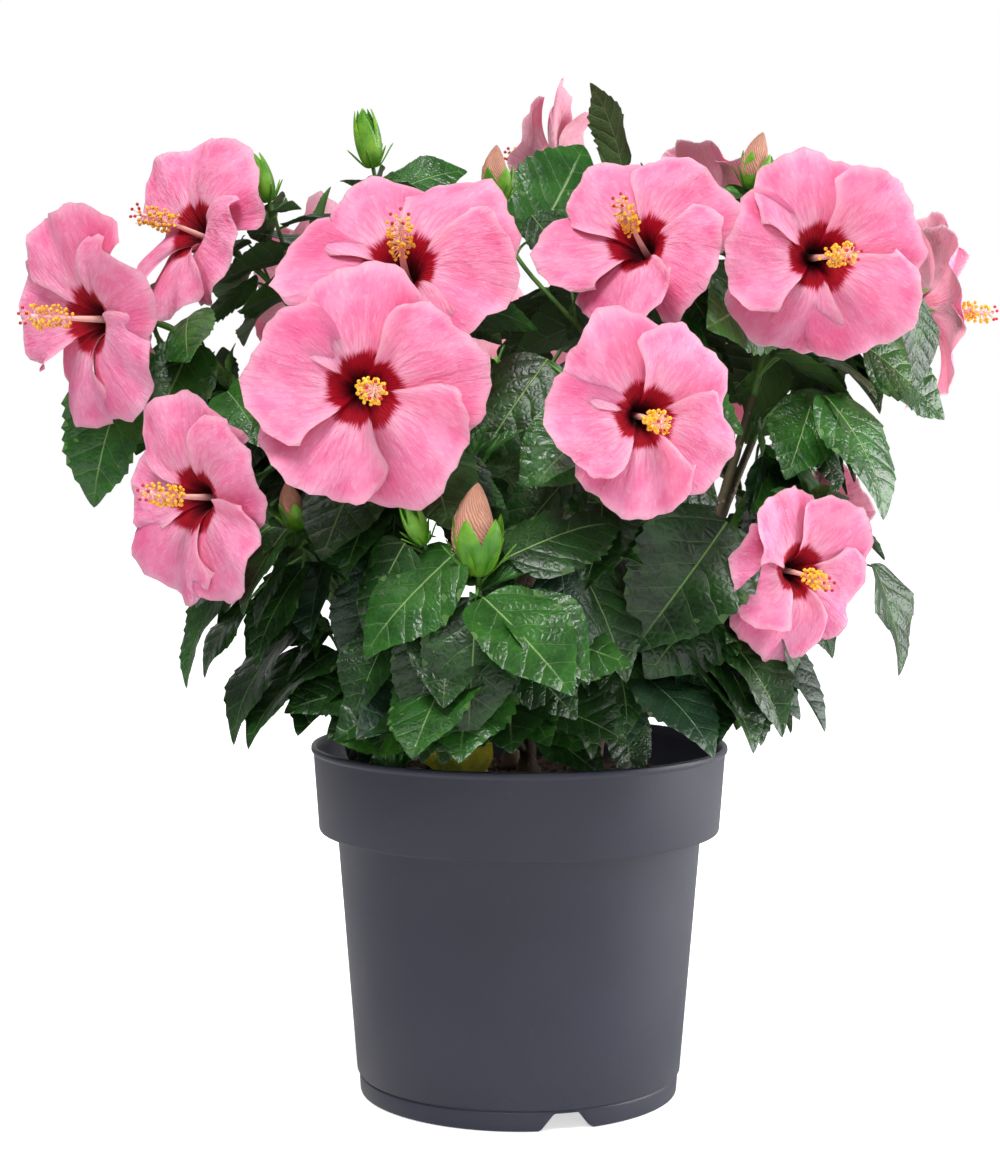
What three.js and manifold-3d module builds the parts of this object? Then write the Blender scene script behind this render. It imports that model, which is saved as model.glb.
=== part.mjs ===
// A pink hibiscus shrub in a round nursery pot, in millimetres, +Z up.
// The origin is the middle of the pot's underside. An azimuth of 0 looks out to the front, along -Y, and a positive
// one turns towards +X. A rise is the angle above the horizontal.
// The plant is four stems out of the compost, one bough to each shoot, and the shoots themselves: a shoot is one
// stem with its twigs, leaves, blooms and buds fused together.

import * as THREE from "three";
import { mergeVertices } from "three/addons/utils/BufferGeometryUtils.js";
import Module from "manifold-3d";

const wasm = await Module();
wasm.setup();

// ---------------------------------------------------------------- driving dimensions

const POT = {
  height: 193,
  rimRadius: 115,
  lip: 2.6,
  collarFoot: 146, // height of the collar's lower edge
  collarFootRadius: 110.7,
  bodyTopRadius: 100.7,
  footRadius: 88.1,
  footHeight: 10.5,
  wall: 2,
  sides: 36,
};
const NOTCH = { count: 3, azimuth: 17, mouth: 27, top: 14, height: 9 };
const DRAIN = { count: 6, radius: 5, reach: 58, sides: 8 };
const COMPOST = { top: 174, flatReach: 70, edgeDrop: 4, sides: 24 };
const CLEAR = 0.3; // between neighbouring solids
const SLIVER = 0.03; // edges shorter than this are closed up once a shoot is fused

const BOUGH = { footRadius: 2.9, endRadius: 2.1, sides: 5, steps: 4, endsAt: 0.46, clearance: 0.8, spread: 1.1 };
const SHOOT = { endRadius: 1.5, sides: 4, steps: 5, room: 95 };
const TWIG = { radii: [1.5, 1.1], sides: 4, steps: 2 };
const PETIOLE = { radius: 0.9, shortest: 12, longest: 28, rise: 25 };
const LEAF = {
  shortest: 50,
  longest: 76,
  halfWidth: 0.33, // of the length, as every share below
  shoulder: 0.3,
  waist: 0.7,
  waistWidth: 0.68,
  droop: 0.16,
  fold: 0.045,
  thinnest: 1.2,
  turn: 137.5, // degrees from one leaf to the next round its stem
  overRim: 6, // how far above the rim the rule stops its lowest leaves
  tries: 5,
};
const BLOOM = {
  petals: 5,
  samples: [-35, -26, -5, 20], // degrees across each petal
  outline: [0.86, 0.96, 1, 0.99], // how far each sample reaches
  lift: [-0.07, 0.06, 0.02, -0.03], // each petal's leading edge lies over the last one
  depth: 0.47, // of the bloom's radius, from throat to rim
  column: 0.98,
  calyx: 0.3,
  thickness: 1.3,
};

// ---------------------------------------------------------------- the plant's plan

// Stems: azimuth and reach of the foot, then azimuth, reach and height of the top.
const STEMS = [
  { name: "stem_left", foot: [-75, 26], top: [-66, 66, 262], radii: [5.2, 3.7] },
  { name: "stem_front", foot: [12, 22], top: [-4, 56, 250], radii: [4.8, 3.5] },
  { name: "stem_right", foot: [68, 38], top: [66, 98, 284], radii: [5.8, 4.1] },
  { name: "stem_back", foot: [-175, 26], top: [176, 60, 268], radii: [5.2, 3.7] },
];

// Shoots: the stem each bough leaves, and where along it; the organs that its twigs end in, the first of them on the
// shoot's own stem; how many leaves the rule deals it; and the leaves that show most, each as the place of its base,
// its azimuth, rise and length, and its roll. A bloom has its width and the spin of its petals, clockwise to one who
// faces it; a bud has its length. A tip is a leafy end.
const bloom = (at, faces, wide, spin = 0) => ({ kind: "bloom", at, faces, size: wide, spin });
const bud = (at, faces, long) => ({ kind: "bud", at, faces, size: long });
const tip = (at, faces) => ({ kind: "tip", at, faces, size: 0 });
const SHOOTS = [
  {
    name: "shoot_far_left",
    stem: "stem_left",
    fork: 0.86,
    organs: [bloom([-233, -38, 424], [-49, -2], 120, -5)],
    leaves: 9,
    posed: [[-214, -10, 394, -66, -68, 72], [-180, -6, 412, -30, -60, 66, -60]],
  },
  {
    name: "shoot_upper_left",
    stem: "stem_left",
    fork: 1,
    organs: [
      bloom([-184, 8, 477], [-50, 22], 108, -30),
      bud([-139, 12, 492], [-60, 70], 27),
      tip([-110, 26, 468], [60, 40]),
    ],
    leaves: 10,
    posed: [[-130, 14, 478, 66, 14, 40]],
  },
  {
    name: "shoot_top_left",
    stem: "stem_left",
    fork: 0.7,
    organs: [bloom([-62, -88, 452], [-12, 30], 132, -30), bud([-80, -14, 508], [-40, 75], 31)],
    leaves: 8,
    posed: [[-70, -10, 494, 88, 24, 42]],
  },
  {
    name: "shoot_front_left",
    stem: "stem_front",
    fork: 0.84,
    organs: [bloom([-75, -168, 384], [4, -3], 118, -3), tip([-26, -112, 346], [20, 20])],
    leaves: 10,
    posed: [],
  },
  {
    name: "shoot_low_left",
    stem: "stem_left",
    fork: 0.52,
    organs: [bloom([-165, -118, 331], [-38, -2], 106, -5), bud([-112, -106, 316], [-30, 68], 26)],
    leaves: 8,
    posed: [[-153, -84, 284, -68, -58, 54], [-110, -95, 296, -54, -48, 56], [-140, -76, 278, -72, -46, 46]],
  },
  {
    name: "shoot_top_middle",
    stem: "stem_front",
    fork: 1,
    organs: [bloom([60, -72, 464], [-24, 26], 104, -28), bud([-12, -24, 488], [-10, 80], 30)],
    leaves: 8,
    posed: [[6, 10, 468, 106, 58, 68]],
  },
  {
    name: "shoot_front_right",
    stem: "stem_front",
    fork: 0.68,
    organs: [bloom([60, -176, 372], [15, -2], 98, -25)],
    leaves: 7,
    posed: [[14, -92, 402, -58, -50, 64]],
  },
  {
    name: "shoot_upper_right",
    stem: "stem_right",
    fork: 1,
    organs: [bloom([152, -94, 453], [8, -4], 106, -11), bud([126, 4, 498], [70, 78], 31)],
    leaves: 9,
    posed: [],
  },
  {
    name: "shoot_far_right",
    stem: "stem_right",
    fork: 0.84,
    organs: [bloom([240, 56, 436], [98, 2], 106, 10)],
    leaves: 9,
    posed: [[186, -14, 412, 100, -34, 68, 70], [208, -30, 440, 20, -70, 56, 45]],
  },
  {
    name: "shoot_low_right",
    stem: "stem_right",
    fork: 0.5,
    organs: [bloom([142, -112, 295], [31, 0], 90, -20)],
    leaves: 7,
    posed: [[186, -54, 296, 60, -66, 64, 50]],
  },
  {
    name: "shoot_top_back",
    stem: "stem_back",
    fork: 1,
    organs: [bloom([14, 84, 520], [-112, 14], 92)],
    leaves: 9,
    posed: [[58, 58, 514, -128, 78, 52]],
  },
  {
    name: "shoot_back_right_top",
    stem: "stem_back",
    fork: 0.86,
    organs: [bloom([116, 66, 498], [140, 40], 84)],
    leaves: 8,
    posed: [],
  },
  {
    name: "shoot_front_middle",
    stem: "stem_front",
    fork: 0.5,
    organs: [
      bud([-20, -160, 297], [0, 82], 44),
      bud([-47, -148, 311], [-45, 60], 24),
      tip([34, -112, 306], [40, 20]),
    ],
    leaves: 9,
    posed: [
      [-21, -168, 286, -5, -70, 66],
      [-6, -158, 304, 108, 24, 64],
      [-30, -158, 307, -76, -42, 68],
      [-4, -148, 268, 86, -8, 60],
      [8, -116, 230, 58, -36, 52],
      [-8, -126, 240, -50, -58, 50],
    ],
  },
  {
    name: "skirt_front",
    stem: "stem_front",
    fork: 0.2,
    organs: [tip([-16, -112, 244], [-12, 10]), tip([-66, -92, 256], [-50, 20]), tip([46, -92, 264], [40, 20])],
    leaves: 14,
    posed: [
      [-63, -108, 232, 114, -50, 50],
      [-4, -134, 256, 70, -40, 46],
    ],
  },
  {
    name: "skirt_right",
    stem: "stem_right",
    fork: 0.2,
    organs: [tip([108, -92, 262], [48, 12]), tip([72, -74, 316], [20, 40])],
    leaves: 11,
    posed: [
      [104, -112, 320, -62, -52, 78],
      [64, -100, 240, 40, -52, 58],
      [98, -94, 258, 64, -58, 54],
      [122, -60, 258, 72, -56, 62],
    ],
  },
  {
    name: "shoot_right",
    stem: "stem_right",
    fork: 0.68,
    organs: [tip([158, -48, 372], [72, 10]), tip([150, -84, 330], [30, 10])],
    leaves: 11,
    posed: [[158, -66, 384, 56, -46, 80, 45], [148, -30, 338, 66, -34, 64]],
  },
  {
    name: "skirt_left",
    stem: "stem_left",
    fork: 0.22,
    organs: [tip([-104, -72, 262], [-58, 8]), tip([-66, -96, 318], [-20, 40])],
    leaves: 12,
    posed: [[-116, -62, 264, -60, -54, 70], [-66, -112, 262, -54, -58, 44]],
  },
  {
    name: "shoot_left",
    stem: "stem_left",
    fork: 0.36,
    organs: [tip([-158, -8, 388], [-80, 26]), tip([-112, -42, 372], [-40, 30])],
    leaves: 12,
    posed: [[-156, -40, 386, 36, -28, 48]],
  },
  {
    name: "shoot_back_left",
    stem: "stem_back",
    fork: 0.72,
    organs: [bloom([-122, 122, 446], [-140, 14], 112)],
    leaves: 9,
    posed: [],
  },
  {
    name: "shoot_back_middle",
    stem: "stem_back",
    fork: 0.58,
    organs: [bloom([-18, 182, 402], [-176, 2], 116), bud([38, 120, 452], [160, 74], 32)],
    leaves: 9,
    posed: [],
  },
  {
    name: "shoot_back_right",
    stem: "stem_back",
    fork: 0.44,
    organs: [bloom([114, 150, 410], [142, 8], 104)],
    leaves: 9,
    posed: [],
  },
  {
    name: "shoot_back_low_left",
    stem: "stem_back",
    fork: 0.3,
    organs: [bloom([-168, 98, 332], [-120, -2], 98), bud([-86, 150, 300], [-150, 66], 28)],
    leaves: 10,
    posed: [],
  },
  {
    name: "shoot_back_low_right",
    stem: "stem_right",
    fork: 0.34,
    organs: [bloom([172, 92, 318], [120, 0], 100)],
    leaves: 10,
    posed: [],
  },
  {
    name: "skirt_back",
    stem: "stem_back",
    fork: 0.14,
    organs: [bloom([44, 184, 296], [168, -4], 92)],
    leaves: 12,
    posed: [],
  },
];

// ---------------------------------------------------------------- directions and draws

const UP = new THREE.Vector3(0, 0, 1);
const HEART = new THREE.Vector3(0, 0, 300); // the crown's leaves turn away from this point
const radians = THREE.MathUtils.degToRad;
const lerp = THREE.MathUtils.lerp;
const point = ([x, y, z]) => new THREE.Vector3(x, y, z);

/** The unit vector of an azimuth and a rise. */
function heading(azimuth, rise = 0) {
  const [a, r] = [radians(azimuth), radians(rise)];
  return new THREE.Vector3(Math.sin(a) * Math.cos(r), -Math.cos(a) * Math.cos(r), Math.sin(r));
}

/** A place by its azimuth, its reach from the pot's axis and its height. */
const place = (azimuth, reach, height) => heading(azimuth).multiplyScalar(reach).setZ(height);

/** A repeatable run of draws between 0 and 1. */
function draws(seed) {
  let state = seed >>> 0;
  return () => {
    state = (Math.imul(state, 1664525) + 1013904223) >>> 0;
    return state / 2 ** 32;
  };
}

/** Two unit vectors square to an axis: the first level, the second as near to upright as it can be. */
function across(axis) {
  const level = Math.abs(axis.z) > 0.999 ? new THREE.Vector3(1, 0, 0) : axis.clone().cross(UP).normalize();
  return [level, level.clone().cross(axis).normalize()];
}

// ---------------------------------------------------------------- solids

/** A closed geometry as a manifold-3d solid, with its faces turned outwards. */
function solid(geometry) {
  const bare = new THREE.BufferGeometry().setAttribute("position", geometry.getAttribute("position"));
  if (geometry.index) bare.setIndex(geometry.index);
  const merged = mergeVertices(bare, 1e-4);
  const turned = merged.index.array.slice();
  for (let i = 0; i < turned.length; i += 3) [turned[i + 1], turned[i + 2]] = [turned[i + 2], turned[i + 1]];
  const vertProperties = merged.attributes.position.array;
  const make = (triVerts) =>
    new wasm.Manifold(new wasm.Mesh({ numProp: 3, vertProperties, triVerts: new Uint32Array(triVerts) }));
  const made = make(merged.index.array);
  return made.volume() > 0 ? made : make(turned);
}

/** A closed skin over rings of equally many points, drawn together to one point at each end. */
function skin(start, rings, end) {
  const sides = rings[0].length;
  const points = [start, ...rings.flat(), end];
  const index = [];
  const at = (ring, side) => 1 + ring * sides + (side % sides);
  for (let side = 0; side < sides; side++) {
    index.push(0, at(0, side + 1), at(0, side));
    for (let ring = 0; ring + 1 < rings.length; ring++) {
      index.push(at(ring, side), at(ring, side + 1), at(ring + 1, side));
      index.push(at(ring, side + 1), at(ring + 1, side + 1), at(ring + 1, side));
    }
    index.push(points.length - 1, at(rings.length - 1, side), at(rings.length - 1, side + 1));
  }
  return solid(new THREE.BufferGeometry().setFromPoints(points).setIndex(index));
}

/** A ring of points round an axis. */
function ring(centre, axis, radius, sides) {
  const [level, upright] = across(axis);
  return Array.from({ length: sides }, (_, side) => {
    const angle = (2 * Math.PI * side) / sides;
    return centre
      .clone()
      .addScaledVector(level, radius * Math.cos(angle))
      .addScaledVector(upright, radius * Math.sin(angle));
  });
}

/** Points along a curve between two of its parameters. */
const along = (curve, from, to, count) =>
  Array.from({ length: count }, (_, i) => curve.getPoint(lerp(from, to, i / (count - 1))));

/** A tapering limb with flat ends along a curve, between two of its parameters. */
function limb({ curve, from, to, radii, sides, steps }) {
  const rings = Array.from({ length: steps + 1 }, (_, i) => {
    const t = lerp(from, to, i / steps);
    return ring(curve.getPoint(t), curve.getTangent(t), lerp(...radii, i / steps), sides);
  });
  return skin(curve.getPoint(from), rings, curve.getPoint(to));
}

/** The place inside a limb at a share of its length: on the straight line between two of its rings. */
function inside({ curve, from, to, steps }, share) {
  const before = Math.min(Math.floor(share * steps), steps - 1);
  const [a, b] = [before, before + 1].map((i) => curve.getPoint(lerp(from, to, i / steps)));
  return a.lerp(b, share * steps - before);
}

/** The curve from one place to another that leaves and arrives in given directions. */
function bend(from, leaving, to, arriving, reach = 0.36) {
  const span = from.distanceTo(to) * reach;
  const [first, last] = [from.clone().addScaledVector(leaving, span), to.clone().addScaledVector(arriving, -span)];
  return new THREE.CubicBezierCurve3(from, first, last, to);
}

const named = (name, made, material) => {
  const mesh = made.getMesh();
  const geometry = new THREE.BufferGeometry();
  geometry.setAttribute("position", new THREE.BufferAttribute(mesh.vertProperties, 3));
  geometry.setIndex(new THREE.BufferAttribute(mesh.triVerts, 1));
  const piece = new THREE.Mesh(geometry, material);
  piece.name = name;
  return piece;
};

// ---------------------------------------------------------------- pot and compost

const wallRadius = (z) => lerp(POT.footRadius + 0.8, POT.bodyTopRadius, z / POT.collarFoot);
const collarRadius = (z) =>
  lerp(POT.collarFootRadius, POT.rimRadius - 1, (z - POT.collarFoot) / (POT.height - POT.collarFoot));

/** The pot: a moulded shell with a stepped-out collar, a notched foot ring and drain holes. */
function potSolid() {
  const { height, lip, collarFoot, footRadius, footHeight, wall, sides } = POT;
  const floorTop = footHeight + wall;
  const profile = [
    [0, footHeight],
    [footRadius - 4, footHeight],
    [footRadius - 4, 0],
    [footRadius, 0],
    [footRadius + 0.6, footHeight - 1],
    [wallRadius(footHeight) + 0.5, footHeight + 0.6],
    [POT.bodyTopRadius, collarFoot],
    [POT.collarFootRadius, collarFoot + 0.8],
    [collarRadius(height - 4), height - 4],
    [POT.rimRadius, height - 3],
    [POT.rimRadius - 0.5, height],
    [POT.rimRadius - lip, height],
    [collarRadius(height - 6) - wall, height - 6],
    [POT.collarFootRadius - wall, collarFoot + 3.5],
    [POT.bodyTopRadius - wall, collarFoot + 2],
    [wallRadius(floorTop + 3) - wall, floorTop + 3],
    [wallRadius(floorTop) - wall - 2, floorTop],
    [0, floorTop],
  ].map(([radius, z]) => new THREE.Vector2(radius, z));
  const shell = solid(new THREE.LatheGeometry(profile, sides).rotateX(Math.PI / 2));
  const cuts = [];
  for (let i = 0; i < NOTCH.count; i++) {
    const angle = radians(NOTCH.azimuth + (360 * i) / NOTCH.count);
    const outline = new THREE.Shape([
      new THREE.Vector2(-NOTCH.mouth / 2 - 1, -1),
      new THREE.Vector2(NOTCH.mouth / 2 + 1, -1),
      new THREE.Vector2(NOTCH.top / 2, NOTCH.height),
      new THREE.Vector2(-NOTCH.top / 2, NOTCH.height),
    ]);
    const cutter = new THREE.ExtrudeGeometry(outline, { depth: 20, bevelEnabled: false });
    cutter.rotateX(Math.PI / 2).translate(0, -footRadius + 12, 0).rotateZ(angle);
    cuts.push(solid(cutter));
  }
  for (let i = 0; i < DRAIN.count; i++) {
    const centre = place((360 * (i + 0.5)) / DRAIN.count, DRAIN.reach, footHeight + wall / 2);
    const cutter = new THREE.CylinderGeometry(DRAIN.radius, DRAIN.radius, wall + 2, DRAIN.sides);
    cuts.push(solid(cutter.rotateX(Math.PI / 2).translate(...centre)));
  }
  return shell.subtract(wasm.Manifold.union(cuts));
}

/** The compost fills the pot, clear of its wall, and is level where the stems stand. */
function compostSolid() {
  const { footHeight, wall, collarFoot } = POT;
  const floor = footHeight + wall + CLEAR;
  const edge = COMPOST.top - COMPOST.edgeDrop;
  const inside = (radius) => radius - wall - CLEAR;
  const profile = [
    [0, floor],
    [inside(wallRadius(floor)) - 2.2, floor],
    [inside(wallRadius(floor + 3)) - 0.2, floor + 3],
    [inside(POT.bodyTopRadius) - 0.3, collarFoot + 2.6],
    [inside(POT.collarFootRadius) - 0.6, collarFoot + 4.4],
    [inside(collarRadius(edge)) - 0.4, edge],
    [COMPOST.flatReach, COMPOST.top],
    [0, COMPOST.top],
  ].map(([radius, z]) => new THREE.Vector2(radius, z));
  return solid(new THREE.LatheGeometry(profile, COMPOST.sides).rotateX(Math.PI / 2));
}

// ---------------------------------------------------------------- stems and boughs

/** A stem out of the compost, flared at its flat foot. */
function stemOf({ foot, top, radii }) {
  const from = place(...foot, COMPOST.top + CLEAR);
  const to = place(...top);
  const lean = to.clone().sub(from).normalize();
  const curve = bend(from, heading(foot[0], 78), to, lean, 0.4);
  const radiusAt = (t) => lerp(radii[0], radii[1], t) * (1 + 0.7 * Math.max(0, 1 - t / 0.16));
  return { curve, radiusAt };
}

/** A stem as a solid. Its foot ring lies level on the compost. */
function stemSolid({ curve, radiusAt }, extra = 0) {
  const stations = [0, 0.08, 0.18, 0.4, 0.7, 1];
  const rings = stations.map((t) =>
    ring(curve.getPoint(t), t === 0 ? UP : curve.getTangent(t), radiusAt(t) + extra, 6),
  );
  return skin(curve.getPoint(0), rings, curve.getPoint(1));
}

/** The least distance between two runs of points. */
function nearest(some, others) {
  return Math.min(...some.map((a) => Math.min(...others.map((b) => a.distanceTo(b)))));
}

/** Where an organ's own stem ends: a bloom's throat lies behind its face. */
function seat({ kind, at, faces, size }) {
  const behind = kind === "bloom" ? (BLOOM.depth * size) / 2 : 0;
  return point(at).addScaledVector(heading(...faces), -behind);
}

/** Plans a shoot's path from its stem to its first organ, bowed aside where it would meet a limb drawn before it. */
function pathOf(shoot, stem, drawn) {
  const [organ] = shoot.organs;
  const to = seat(organ);
  const from = stem.curve.getPoint(shoot.fork);
  const straight = to.clone().sub(from).normalize();
  const leaving = stem.curve.getTangent(shoot.fork);
  if (shoot.fork < 1) {
    const sideways = straight.clone().addScaledVector(leaving, -straight.dot(leaving)).normalize();
    leaving.addScaledVector(sideways, BOUGH.spread).normalize();
  }
  const [level, upright] = across(straight);
  let best = null;
  for (let attempt = 0; attempt < 16; attempt++) {
    const angle = radians(attempt * 150);
    const bow = attempt * 3;
    const curve = bend(from, leaving, to, heading(...organ.faces));
    for (const handle of [curve.v1, curve.v2]) {
      handle.addScaledVector(level, bow * Math.cos(angle)).addScaledVector(upright, bow * Math.sin(angle));
    }
    const room = nearest(along(curve, 0.1, 0.96, 26), drawn) - 2 * BOUGH.footRadius - BOUGH.clearance;
    if (!best || room > best.room) best = { curve, room };
    if (room > 0) break;
  }
  return best.curve;
}

// ---------------------------------------------------------------- leaves, blooms and buds

/**
 * A leaf: three-cornered rings for its keeled blade, which folds and droops, and where a node is given its stalk from
 * there. grow widens and thickens it for a trial fit.
 */
function leafSolid({ base, azimuth, rise, length, roll }, node = null, grow = 0) {
  const axis = heading(azimuth, rise);
  const outward = base.clone().sub(HEART).setZ(0).normalize();
  const face = outward.multiplyScalar(0.6).addScaledVector(UP, 0.8);
  face.addScaledVector(axis, -face.dot(axis)).normalize().applyAxisAngle(axis, radians(roll));
  const side = axis.clone().cross(face);
  const half = LEAF.halfWidth * length + grow;
  const thick = Math.max(LEAF.thinnest, length / 50) + grow;
  const spot = (u, v, lift) =>
    base
      .clone()
      .addScaledVector(axis, u * length)
      .addScaledVector(side, v * half)
      .addScaledVector(face, lift - LEAF.droop * u * u * length);
  const section = (u, v) => {
    const edge = LEAF.fold * v * length + grow;
    return [spot(u, v, edge), spot(u, -v, edge), spot(u, 0, -thick)];
  };
  const rings = [section(LEAF.shoulder, 1), section(LEAF.waist, LEAF.waistWidth)];
  if (!node) return skin(base, rings, spot(1, 0, 0));
  const turn = new THREE.Quaternion().setFromUnitVectors(axis, base.clone().sub(node).normalize());
  const stalk = (centre, share) => {
    const part = new THREE.Quaternion().slerp(turn, share);
    const [right, over] = [side, face].map((way) => way.clone().applyQuaternion(part).multiplyScalar(PETIOLE.radius));
    const above = centre.clone().addScaledVector(over, 0.5);
    return [above.clone().add(right), above.clone().sub(right), centre.clone().sub(over)];
  };
  return skin(node, [stalk(node, 1), stalk(base, 0.5), ...rings], spot(1, 0, 0));
}

/** A leaf's stalk by itself, for a trial fit. */
function stalkSolid({ base }, node) {
  const axis = base.clone().sub(node).normalize();
  return skin(node, [ring(node, axis, PETIOLE.radius + CLEAR, 3)], base);
}

/** A bloom: five overlapping petals as one funnel, its calyx behind, and the column of stamens. */
function bloomSolid({ at, faces, size, spin }) {
  const axis = heading(...faces);
  const [level, upright] = across(axis);
  const throat = seat({ kind: "bloom", at, faces, size });
  const radius = size / 2;
  const spot = (reach, angle, depth) =>
    throat
      .clone()
      .addScaledVector(level, reach * Math.cos(angle))
      .addScaledVector(upright, reach * Math.sin(angle))
      .addScaledVector(axis, depth);
  const angles = [];
  for (let petal = 0; petal < BLOOM.petals; petal++) {
    BLOOM.samples.forEach((degrees, i) => angles.push({ angle: radians(90 + spin + degrees + petal * 72), i }));
  }
  // The funnel's reach and depth, as shares of the radius, from throat to rim.
  const section = [
    [0.36, 0.42],
    [1, 0.45],
  ];
  const layer = ([reach, depth], offset) =>
    angles.map(({ angle, i }) => {
      const out = radius * reach * lerp(1, BLOOM.outline[i], reach);
      return spot(out, angle, radius * (depth + BLOOM.lift[i] * reach) + offset);
    });
  const inner = section.map((part, i) => layer(part, i === section.length - 1 ? 0 : BLOOM.thickness / 2));
  const outer = section.slice(0, -1).map((part) => layer(part, -BLOOM.thickness / 2));
  const petals = skin(spot(0, 0, 3), [...inner, ...outer.reverse()], spot(0, 0, -1));
  const cup = BLOOM.calyx * radius;
  const calyx = skin(
    spot(0, 0, -3),
    [ring(spot(0, 0, -2), axis, 2.6, 5), ring(spot(0, 0, cup * 0.4), axis, cup * 0.3, 5)],
    spot(0, 0, 1),
  );
  const reach = BLOOM.column * radius;
  const column = skin(
    spot(0, 0, 1),
    [
      ring(spot(0, 0, reach * 0.6), axis, 1.5, 4),
      ring(spot(0, 0, reach * 0.8), axis, 4.6, 4),
    ],
    spot(0, 0, reach),
  );
  return [petals, calyx, column];
}

/** A bud: rolled petals standing out of their calyx. */
function budSolid({ at, faces, size }) {
  const axis = heading(...faces);
  const base = point(at);
  const rings = [
    [0.03, 0.07],
    [0.22, 0.2],
    [0.5, 0.18],
    [0.8, 0.1],
  ].map(([share, radius]) => ring(base.clone().addScaledVector(axis, share * size), axis, radius * size, 5));
  return skin(base.clone().addScaledVector(axis, -1), rings, base.clone().addScaledVector(axis, size));
}

// ---------------------------------------------------------------- growing the shoots

/** The lines of a shoot: its own stem and a twig to each further organ. */
function linesOf(shoot, path) {
  const main = { ...SHOOT, curve: path, from: BOUGH.endsAt, to: 1, radii: [BOUGH.endRadius, SHOOT.endRadius] };
  const twigs = shoot.organs.slice(1).map((organ, i) => {
    const share = 0.2 + 0.2 * i;
    const from = inside(main, share);
    const to = seat(organ);
    const straight = to.clone().sub(from).normalize();
    const leaving = path.getTangent(lerp(main.from, 1, share)).add(straight).normalize();
    return { ...TWIG, curve: bend(from, leaving, to, heading(...organ.faces)), from: 0, to: 1 };
  });
  return [main, ...twigs];
}

/** The leaves that the rule deals along a line: every one takes the same draws, whether it finds room or not. */
function* dealt(lines, count, random) {
  for (let i = 0; i < count; i++) {
    const line = lines[i % 2 === 0 ? 0 : Math.floor(i / 2) % lines.length];
    const share = 0.04 + (0.88 * (i + 0.5)) / count;
    const t = lerp(line.from, line.to, share);
    const node = inside(line, share);
    const [size, stalk, hang, roll] = [random(), random(), random(), random()];
    const low = THREE.MathUtils.clamp((420 - node.z) / 180, 0, 1);
    const choices = [];
    for (let attempt = 0; attempt < LEAF.tries; attempt++) {
      const turn = i * LEAF.turn + attempt * 70;
      const outward = node.clone().sub(HEART).normalize();
      const leaving = heading(turn, PETIOLE.rise).addScaledVector(outward, 0.9);
      leaving.addScaledVector(line.curve.getTangent(t), 0.3).normalize();
      const base = node.clone().addScaledVector(leaving, lerp(PETIOLE.shortest, PETIOLE.longest, stalk));
      const length = lerp(LEAF.shortest, LEAF.longest, size) * (1 - 0.3 * share * (1 - low)) * (1 - 0.06 * attempt);
      const drop = THREE.MathUtils.clamp((base.z - POT.height - LEAF.overRim) / length - LEAF.droop, -0.5, 1);
      choices.push({
        base,
        azimuth: THREE.MathUtils.radToDeg(Math.atan2(leaving.x, -leaving.y)),
        rise: Math.max(-4 - 30 * hang - 34 * low - 8 * attempt, THREE.MathUtils.radToDeg(-Math.asin(drop))),
        length,
        roll: (roll - 0.5) * 50,
      });
    }
    yield { node, choices };
  }
}

/** Whether two solids' boxes meet. */
const boxesMeet = (a, b) => [0, 1, 2].every((i) => a.min[i] <= b.max[i] && b.min[i] <= a.max[i]);

/** Keeps what is in place, and says whether a trial solid would touch any of it. */
class Space {
  kept = [];

  add(made, owner) {
    this.kept.push({ made, owner, box: made.boundingBox() });
  }

  touches(made, isExempt) {
    const box = made.boundingBox();
    return this.kept.some(
      (other) => !isExempt(other.owner) && boxesMeet(box, other.box) && made.intersect(other.made).volume() > 0,
    );
  }
}

const material = (color, roughness, metalness = 0) => new THREE.MeshStandardMaterial({ color, roughness, metalness });
const MATERIALS = {
  pot: material(0x4b4b50, 0.5),
  compost: material(0x2d211a, 0.95),
  bark: material(0x6b5a48, 0.85),
  foliage: material(0x23501f, 0.45),
};

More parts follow.
